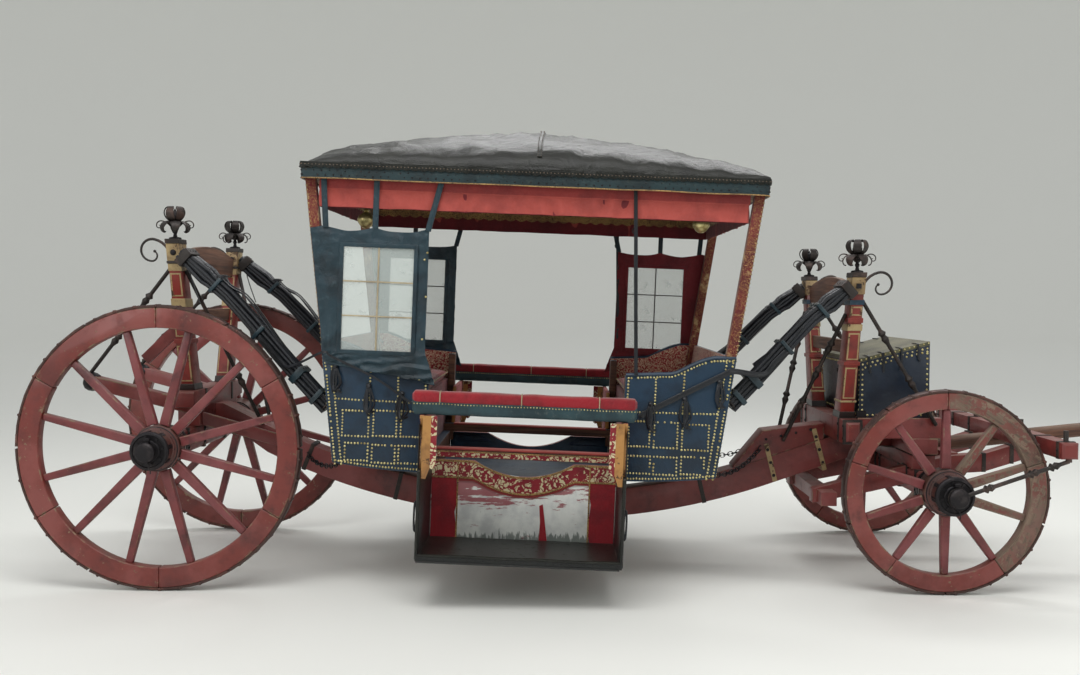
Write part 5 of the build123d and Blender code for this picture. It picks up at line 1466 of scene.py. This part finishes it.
def makeCurtain(side, end):
    c, tag = curtainSizes, cornerName(side, end)
    inner = "burgundyCloth" if side > 0 and end > 0 else "curtainLeather"
    xs = [(0, k / 6) for k in range(6)] + [(1, k / 24) for k in range(24)] + [(2, k / 12) for k in range(13)]
    zs = [(0, k / 22) for k in range(22)] + [(1, k / 30) for k in range(30)] + [(2, k / 8) for k in range(9)]
    wide = len(xs)
    verts = [curtainPoint(side, end, *x, *z) for z in zs for x in xs]
    starts = [j * wide + i for j in range(len(zs) - 1) for i in range(wide - 1)
              if not zs[j][0] == xs[i][0] == 1]
    bm, area = openSheet(verts, [(a, a + 1, a + wide + 1, a + wide) for a in starts], level * side,
                         c["thick"])
    for face in bm.faces:
        face.material_index = 1 if face.normal.y * side < -0.2 else 0
    mesh = bpy.data.meshes.new("curtain" + tag)
    bm.to_mesh(mesh)
    bm.free()
    piece = finishPiece("curtain" + tag, mesh, ["curtainLeather", inner], ["curtain_panels"])
    parts, mid, high = [], (c["near"] + c["far"]) / 2, (c["low"] + c["high"]) / 2
    for y in (side * (c["mid"] + 5), side * (c["mid"] - 5)):
        parts += [(bodyBrick(end * x, y, high, (11, 4, 297), 2.5), inner)
                  for x in (c["near"] - 9, c["far"] + 9)]
        parts += [(bodyBrick(end * mid, y, z, (202, 4.2, 11), 2.5), inner)
                  for z in (c["low"] - 9, c["high"] + 9)]
    bars = "oldLinen" if side < 0 else "darkPaint"
    parts.append((bodyBrick(end * mid, side * c["mid"], high, (3.6, 5, 278), 1.2), bars))
    parts += [(bodyBrick(end * mid, side * c["mid"], c["low"] + (c["high"] - c["low"]) * k / 3,
                         (191, 5.2, 3.4), 1.2), bars)
              for k in (1, 2)]
    for x in c["straps"]:
        lean = 62 if x < 560 else (-18 if x > 1000 else 0)
        line = smoothLine([onBody(end * (x + lean * k / 3), side * (c["mid"] + 3 + 2 * sin(k * 2 + x)),
                                  1562 - 86 * k)
                           for k in range(4)])
        parts.append((strip(line, 0.031, 0.0055, bodyX, 0.2), "curtainLeather"))
    mixedPiece("window" + tag, parts)
    nailHeads("buttons" + tag, [(onBody(end * x, side * (c["mid"] + 9), z), level * side)
                                for x, z in c["buttons"]],
              6, "brass", height=0.7)


nailSizes = {"squares": [(558, 680, 46, 141), (700, 824, 44, 140), (848, 972, 52, 146), (558, 672, 192, 330),
                         (696, 822, 190, 328), (848, 990, 184, 322)],
             "rows": [[(562, 378), (880, 381)], [(905, 381), (1030, 384)], [(694, 392), (694, 560)],
                      [(846, 396), (846, 590)]], "step": 0.0175, "radius": 6.4, "missing": 0.05,
             "top": [(530, 575), (700, 586), (780, 592), (830, 612), (880, 640), (940, 668), (1003, 686),
                     (1123, 690)],
             "foot": [(530, 0), (660, 3), (780, 8), (900, 18), (1039, 35)],
             "tassels": ((852, 460, 165), (672, 425, 155), (1036, 560, 150)),
             "knot": [(0, -16), (11, -12), (16, 0), (11, 12), (0, 16)],
             # the thong that ends on each brace: its points and width
             "thongs": {-1: ([(560, 372), (614, 378), (812, 505), (1048, 609), (1105, 632)], 0.013),
                        1: ([(620, 352), (640, 372), (830, 478), (1044, 593), (1105, 620)], 0.03)}}


def leanAt(z):  # the body's end, which leans outwards as it rises
    return bodyPlace["halfLong"] + bodyPlace["lean"] * z


def makeNails(side, end):
    n, tag = nailSizes, cornerName(side, end)
    rng = random.Random(40 + 2 * side + end)
    lines = [[(x0, z0), (x1, z0), (x1, z1), (x0, z1), (x0, z0)] for x0, x1, z0, z1 in n["squares"]]
    # two rows up the leaning corner
    lines += [[(leanAt(z) - inset, z) for z in (30, 680)] for inset in (16, 50)]
    lines.append([(546, 16), (546, 560)])
    lines.append([(x, table(n["foot"], x) + 15) for x in (546, 660, 780, 900, 1020)])
    lines += n["rows"]
    if not (side < 0 and end < 0):
        lines.append([(x, table(n["top"], x) - 16) for x in (546, 700, 780, 830, 880, 940, 1003, 1100)])
    spots = []
    for line in lines:
        for p in spaced([onBody(end * x, side * 800.4, z) for x, z in line], n["step"]):
            if rng.random() > n["missing"]:
                spots.append((p + Vector((rng.uniform(-1, 1), 0, rng.uniform(-1, 1))) / 1000, level * side))
    nailHeads("nails" + tag, spots, n["radius"], "brass", height=0.55, seed=7)
    line = smoothLine([onBody(end * x, side * 796, table(n["top"], x) + 1)
                       for x in (532, 600, 700, 780, 830, 880, 940, 1003, 1060, 1119)])
    # over the quarter's upper edge
    newPiece("welt" + tag, tube(line, 0.0115, 8, squash=0.8), "quarterLeather")
    parts = []
    for x, z, drop in n["tassels"]:  # curled leather tassels left from old fastenings
        top = onBody(end * x, side * 808, z)
        parts.append((turned(n["knot"], top, bodyZ, 10), "strapLeather"))
        for _ in range(7):
            sway, curl = rng.uniform(-1, 1), rng.uniform(0.6, 1.3)
            rows = ((0.004 * sway, 0, 0), (0.022 * sway, 0.008, 0.03),
                    (0.036 * sway * curl, 0.006, 0.0006 * drop),
                    (0.012 * sway, 0.014 * curl, 0.00085 * drop),
                    (0.03 * sway + 0.012, 0, 0.001 * drop * rng.uniform(0.8, 1.0)))
            line = smoothLine([top + bodyX * along + level * side * out - bodyZ * down
                               for along, out, down in rows])
            parts.append((strip(line, 0.010, 0.003, (bodyX + level * sway).normalized(), 0.2),
                          "strapLeather"))
    points, wide = n["thongs"][end]
    out = 832 if side < 0 and end < 0 else 812
    post, foot = braceEnds("front" if end > 0 else "rear", side)
    line = smoothLine([onBody(end * x, side * (out + 3 * sin(x)), z) for x, z in points]
                      + [post.lerp(foot, share) + level * side * 0.052 for share in (0.74, 0.64, 0.55)], 6)
    parts.append((strip(line, wide, 0.005, (bodyZ * 0.9 - bodyX * 0.4 * end).normalized(), 0.3),
                  "strapLeather"))
    if end > 0:
        line = smoothLine([onBody(540 + 44 * k / 6, side * (812 + 4 * sin(k * 1.3)), 1566 - 165 * k)
                           for k in range(7)])
        parts.append((strip(line, 0.02, 0.005, bodyX, 0.2), "strapLeather"))
        ring = hoop(onBody(541, side * 815, 1350), bodyX * 0.009, bodyZ * 0.013, 10)
        parts.append((tube(ring, 0.003, 6, closed=True), "naveIron"))
    mixedPiece("thongs" + tag, parts)


def makeEndNails():
    spots = []
    for end in (-1, 1):
        face = (bodyX * end - bodyZ * bodyPlace["lean"]).normalized()
        lines = ([[(-790, 50), (790, 50)], [(-790, 672), (790, 672)]]
                 + [[(y, 60), (y, 672)] for y in (-786, 786, -752, 752)])
        lines += [[(y, low), (y + 332, low), (y + 332, high), (y, high), (y, low)]
                  for y in (-700, -344, 12, 368) for low, high in ((90, 330), (385, 630))]
        for line in lines:
            spots += [(p, face) for p in spaced([onBody(end * (leanAt(z) + 0.5), y, z) for y, z in line],
                                                0.021)]
    nailHeads("endNails", spots, 5.4, "brass", height=0.55, seed=8)
    spots = []
    for s in (-1, 1):
        for end in (-1, 1):
            for z in range(710, 1540, 24):
                spots.append((onBody(end * (leanAt(z) - 7), s * 800.5, z), level * s))
                spots.append((onBody(end * (leanAt(z) + 0.5), s * 793, z), bodyX * end))
    nailHeads("pillarNails", spots, 3.6, "brass", height=0.6, seed=9)


bootSizes = {"back": 616.5, "edge": 514, "steps": 36, "dip": (276, 50, 82),
             # the figured band's strips: from and to below the dip, thickness, finish
             "band": ((0, 12, 7, "goldBraid"), (12, 92, 5.5, "scrollCloth"), (92, 102, 7, "goldBraid"),
                      (102, 116, 4, "madderCloth")),
             "straps": ((532, 1105, (300, 60, -180, -392), 0.046, 0.006),
                        (533, 700, (64, -100, -250, -392), 0.04, 0.005)),
             "facings": (([(470, 350), (513, 350), (513, 28), (490, 28), (482, 52), (470, 84)],
                          "ochrePaint"),
                         ([(440, 350), (470, 350), (470, 84), (462, 78), (449, 86), (440, 108)],
                          "scrollCloth")),
             # the threshold's strips: y, z, half size, easing, finish
             "sill": ((601.5, 76, (508, 3, 13), 1.5, "scrollCloth"),
                      (602, 93, (508, 3, 3.5), 1.2, "goldBraid"),
                      (571, 111.5, (508, 31, 3), 2, "salmonCloth"),
                      (571, 107, (509, 33.5, 3), 2, "madderCloth"))}


def bootBackTrim(side):  # velvet strips, the figured band that follows the dip, and stepped mouldings
    parts = []

    def panel(points, finish, thick):
        corners = [onBody(x, side * bootSizes["back"], z) for x, z in points]
        parts.append((plate(corners, level * side, thick / 1000), finish))

    def dip(x):
        half, high, deep = bootSizes["dip"]
        return high - deep * (1 - (x / half) ** 2) if abs(x) < half else high

    for s in (-1, 1):
        for k in range(6):  # a ragged inner edge
            z1, z0 = 46 - 72 * k, -26 - 72 * k
            inner1, inner0 = 372 + 9 * sin(k * 2.1 + s), 372 + 9 * sin((k + 1) * 2.1 + s)
            panel([(s * 512, z1), (s * inner1, z1), (s * inner0, z0), (s * 512, z0)], "redVelvet", 5)
        panel([(s * 372, 44), (s * 364, 44), (s * 364, -384), (s * 372, -384)], "goldBraid", 6.5)
    edge, steps = bootSizes["edge"], bootSizes["steps"]
    for k in range(steps):
        xa, xb = -edge + 2 * edge * k / steps, -edge + 2 * edge * (k + 1) / steps
        for top, foot, thick, finish in bootSizes["band"]:
            panel([(xa, dip(xa) - top), (xb, dip(xb) - top), (xb, dip(xb) - foot), (xa, dip(xa) - foot)],
                  finish, thick)
    panel([(92, -190), (112, -180), (124, -260), (142, -386), (96, -386), (100, -280)], "redVelvet", 3)
    for s in (-1, 1):
        for inset in (0, 16):
            outline = [(500 - inset, 44 - inset), (345 + inset * 0.4, 44 - inset), (262 + inset, -6),
                       (500 - inset, -6)]
            line = [onBody(s * x, side * 598.5, z) for x, z in outline]
            parts += [(tube([a, b], 0.0035, 6), "navyBraid") for a, b in zip(line, line[1:])]
    return parts


def makeTrayEdges(side, tag):  # bound edges, side straps, carrying loops and nails
    parts, spots = [], []
    for s in (-1, 1):
        rim = smoothLine([onBody(s * 523, side * 1149, z) for z in (66, -80, -240, -366)], 3)
        parts.append((tube(rim, 0.0085, 8), "roofLeather"))
        for x, y, heights, wide, thick in bootSizes["straps"]:
            line = smoothLine([onBody(s * x, side * y, z) for z in heights])
            parts.append((strip(line, wide, thick, level, 0.2), "blackLeather"))
        loop = [onBody(s * (538 + 7 * sin(a)), side * (1120 + 5 * cos(2 * a)), -170 + 78 * cos(a))
                for a in (q * pi / 7 for q in range(14))]
        parts.append((tube(loop, 0.006, 6, closed=True), "strapLeather"))
        spots += [(onBody(s * 531, side * y, z), bodyX * s) for y in (1140, 626)
                  for z in range(-380, 70, 36)]
    xs = range(-524, 525, 40)
    parts.append((tube([onBody(x, side * 1149, -364 + 1.5 * sin(x / 60)) for x in xs], 0.0085, 8),
                  "roofLeather"))
    parts.append((tube([onBody(x, side * 1151, -397) for x in xs], 0.006, 8), "blackLeather"))
    spots += [(onBody(x, side * 1150.5, -380), level * side) for x in range(-500, 501, 40)]
    mixedPiece("trayEdges" + tag, parts)
    nailHeads("trayNails" + tag, spots, 4, "naveIron")


def makeSill(side, tag):  # the boards' brocade lining and front facing, and the threshold's strips
    parts = []
    for s in (-1, 1):
        for k in range(8):
            za, zb = 78 + 34 * k, 112 + 34 * k
            a, b = (1138 - 62 * (1 - sin(min(1, (z - 70) / 120) * pi / 2)) for z in (za, zb))
            for near, far, thick, finish in ((0, 42, 0.003, "brocade"), (42, 50, 0.0045, "goldBraid")):
                inner = 50 if near else 0  # the braid's last corner
                points = ((a - near, za), (a - far, za), (b - far, zb), (b - inner, zb))
                parts.append((plate([onBody(s * 504.5, side * y, z) for y, z in points], (-s, 0, 0), thick),
                              finish))
    for s in (-1, 1):
        for face, finish in bootSizes["facings"]:
            points = face if s * side > 0 else face[::-1]
            parts.append((plate([onBody(s * x, side * 1133, z) for x, z in points], level * side, 0.012),
                          finish))
    parts += [(bodyBrick(0, side * y, z, half, ease), finish)
              for y, z, half, ease, finish in bootSizes["sill"]]
    mixedPiece("sillTrim" + tag, parts, flat=True)


def makeBoots():
    takeOver("bootBack", "boot_back_panels", "tornSilk", 3,
             (lambda p, n: n.y * p.y < -0.3, "quarterLeather"))
    for side, tag in ((-1, "Near"), (1, "Far")):
        mixedPiece("bootTrim" + tag, bootBackTrim(side), flat=True)
        makeTrayEdges(side, tag)
        makeSill(side, tag)


barSizes = {"half": 572, "y": 1113, "z": 415, "deep": 37, "high": 62, "seams": [-572, -430, -15, 380, 572],
            "steps": 96, "around": 28, "fill": 0.55}


def squared(value, power):  # pushes a rounded section out towards a square one
    return copysign(abs(value) ** power, value)


def barPoint(kind, side, x, a):  # the leather roll below and the stitched velvet pad on top
    b, y, z = barSizes, squared(cos(a), 0.55), squared(sin(a), 0.6)
    puff = 1 - 0.55 * exp(-(min(abs(x - s) for s in b["seams"]) / 13) ** 2)
    cap = min(1.0, ((b["half"] - abs(x)) / 14 + 0.25)) ** 0.4
    spot = Vector((x / 90, y, z + side))
    if kind == "barLeather":
        dy = (b["deep"] - 5.5) * y * cap + 1.5 * noise.noise(spot * 2)
        dz = (b["high"] - 6) * z * cap - 4 + 1.5 * noise.noise(spot)
    else:
        grow = (2.0 + 3.2 * (puff - 0.6)) * (0.4 + 0.6 * abs(sin(a)))
        dy = (b["deep"] - 4 + grow) * y * cap
        dz = 0.5 * (b["high"] + grow) * z * cap * puff ** 0.08 + b["high"] / 2 - 1
        dz += 1.6 * noise.noise(spot) + (2.5 * noise.noise(spot * 0.6) if z > 0 else 0)
    return onBody(x, side * b["y"] + dy, b["z"] + dz)


def makeDoorBars():
    b = barSizes
    count, around = b["steps"], b["around"]
    for side, tag in ((-1, "Near"), (1, "Far")):
        for kind, finish, stand in (("barLeather", "tealLeather", ["door_bars"]),
                                    ("barVelvet", "redVelvet", ())):
            verts = [barPoint(kind, side, -b["half"] + 2 * b["half"] * i / count, 2 * pi * k / around)
                     for i in range(count + 1) for k in range(around)]
            piece = newPiece(kind + tag, (verts, sleeve(count + 1, around)), finish, stand)
        spots = [(onBody(x, side * (b["y"] + f * 36.5), b["z"] - 2 + 1.2 * sin(x / 37)), level * side * f)
                 for x in range(-560, 561, 16) for f in (-1, 1)]
        nailHeads("barNails" + tag, spots, 3.6, "brass", height=0.6)
        rings = [[onBody(s, side * b["y"] + 36 * squared(cos(a), 0.6),
                         b["z"] + 31 + 31 * squared(sin(a), 0.6))
                  for a in (q * pi / 9 for q in range(18))] for s in b["seams"][1:-1]]
        mixedPiece("barSeams" + tag, [(tube(ring, 0.0032, 6, closed=True), "oldLinen") for ring in rings])


benchSizes = {"middle": 776, "half": (196, 732), "z": 441, "across": 22, "along": 64, "fill": 0.6,
              "tufts": [(x, y) for x in (-90, 80) for y in (-520, -260, 0, 260, 520)]}


def cushionPoint(end, u, v, top):
    b = benchSizes
    pull = 1 - 0.028 * (1 - abs(u) ** 3) * (abs(v) > 0.99) - 0.06 * (1 - abs(v) ** 3) * (abs(u) > 0.99)
    dx, y = b["half"][0] * u * pull, b["half"][1] * v * pull
    x = b["middle"] + dx
    crown = (1 - abs(u) ** 3.2) ** 0.6 * (1 - abs(v) ** 7) ** 0.6 if max(abs(u), abs(v)) < 1 else 0
    tuft = sum(exp(-((dx - tx) ** 2 + (y - ty) ** 2) / 1500) for tx, ty in b["tufts"])
    rise = (30 * crown - 15 * tuft * crown + 3 * wobble(x / 70, y / 70, end) if top
            else -38 * min(1, crown * 3))
    return onBody(end * x, y, b["z"] + rise)


def makeBenches():
    b = benchSizes
    nx, ny = b["across"], b["along"]
    wide, shift = ny + 1, (nx + 1) * (ny + 1)
    for end, tag in ((-1, "Rear"), (1, "Front")):
        verts = [cushionPoint(end, -1 + 2 * i / nx, -1 + 2 * j / ny, top)
                 for top in (True, False) for i in range(nx + 1) for j in range(ny + 1)]
        faces = []
        for a in (i * wide + j for i in range(nx) for j in range(ny)):
            faces += [(a, a + 1, a + wide + 1, a + wide),
                      (a + wide + shift, a + wide + 1 + shift, a + 1 + shift, a + shift)]
        cushion = newPiece("cushion" + tag, (verts, faces), "redVelvet", ["bench_cushions"])
        rim = ([(-1, -1 + k / 8) for k in range(16)] + [(-1 + k / 4, 1) for k in range(8)]
               + [(1, 1 - k / 8) for k in range(16)] + [(1 - k / 4, -1) for k in range(8)])
        line = [onBody(end * (b["middle"] + 198 * u), 734 * v, b["z"]) for u, v in rim]
        newPiece("piping" + tag, tube(line, 0.005, 6, closed=True), "goldBraid")
        buttons = [(onBody(end * (b["middle"] + x), y, b["z"] + 20), bodyZ) for x, y in b["tufts"]]
        nailHeads("tufts" + tag, buttons, 9, "madderCloth")


makeCamera()
makeStudio()
makeShaderGroups()
makeMaterials()
makeHeadTree()
makeLinkTree()
print("materials ready")
for wheelEnd in ("rear", "front"):
    for wheelSide in ("right", "left"):
        makeWheel(wheelEnd, wheelSide)
makeAxleEnds()
print("wheels ready")
makeTimbers()
print("timbers ready")
makePostTrim()
makeBraces()
makeIrons()
makeChestTrim()
print("irons ready")
makeRoof()
makeBand()
makeValance()
print("roof ready")
for bodySide, bodyEnd in ((-1, -1), (1, -1), (1, 1)):
    makeCurtain(bodySide, bodyEnd)
for bodySide in (-1, 1):
    for bodyEnd in (-1, 1):
        makeNails(bodySide, bodyEnd)
makeEndNails()
makeBoots()
makeDoorBars()
makeBenches()
print("body ready")
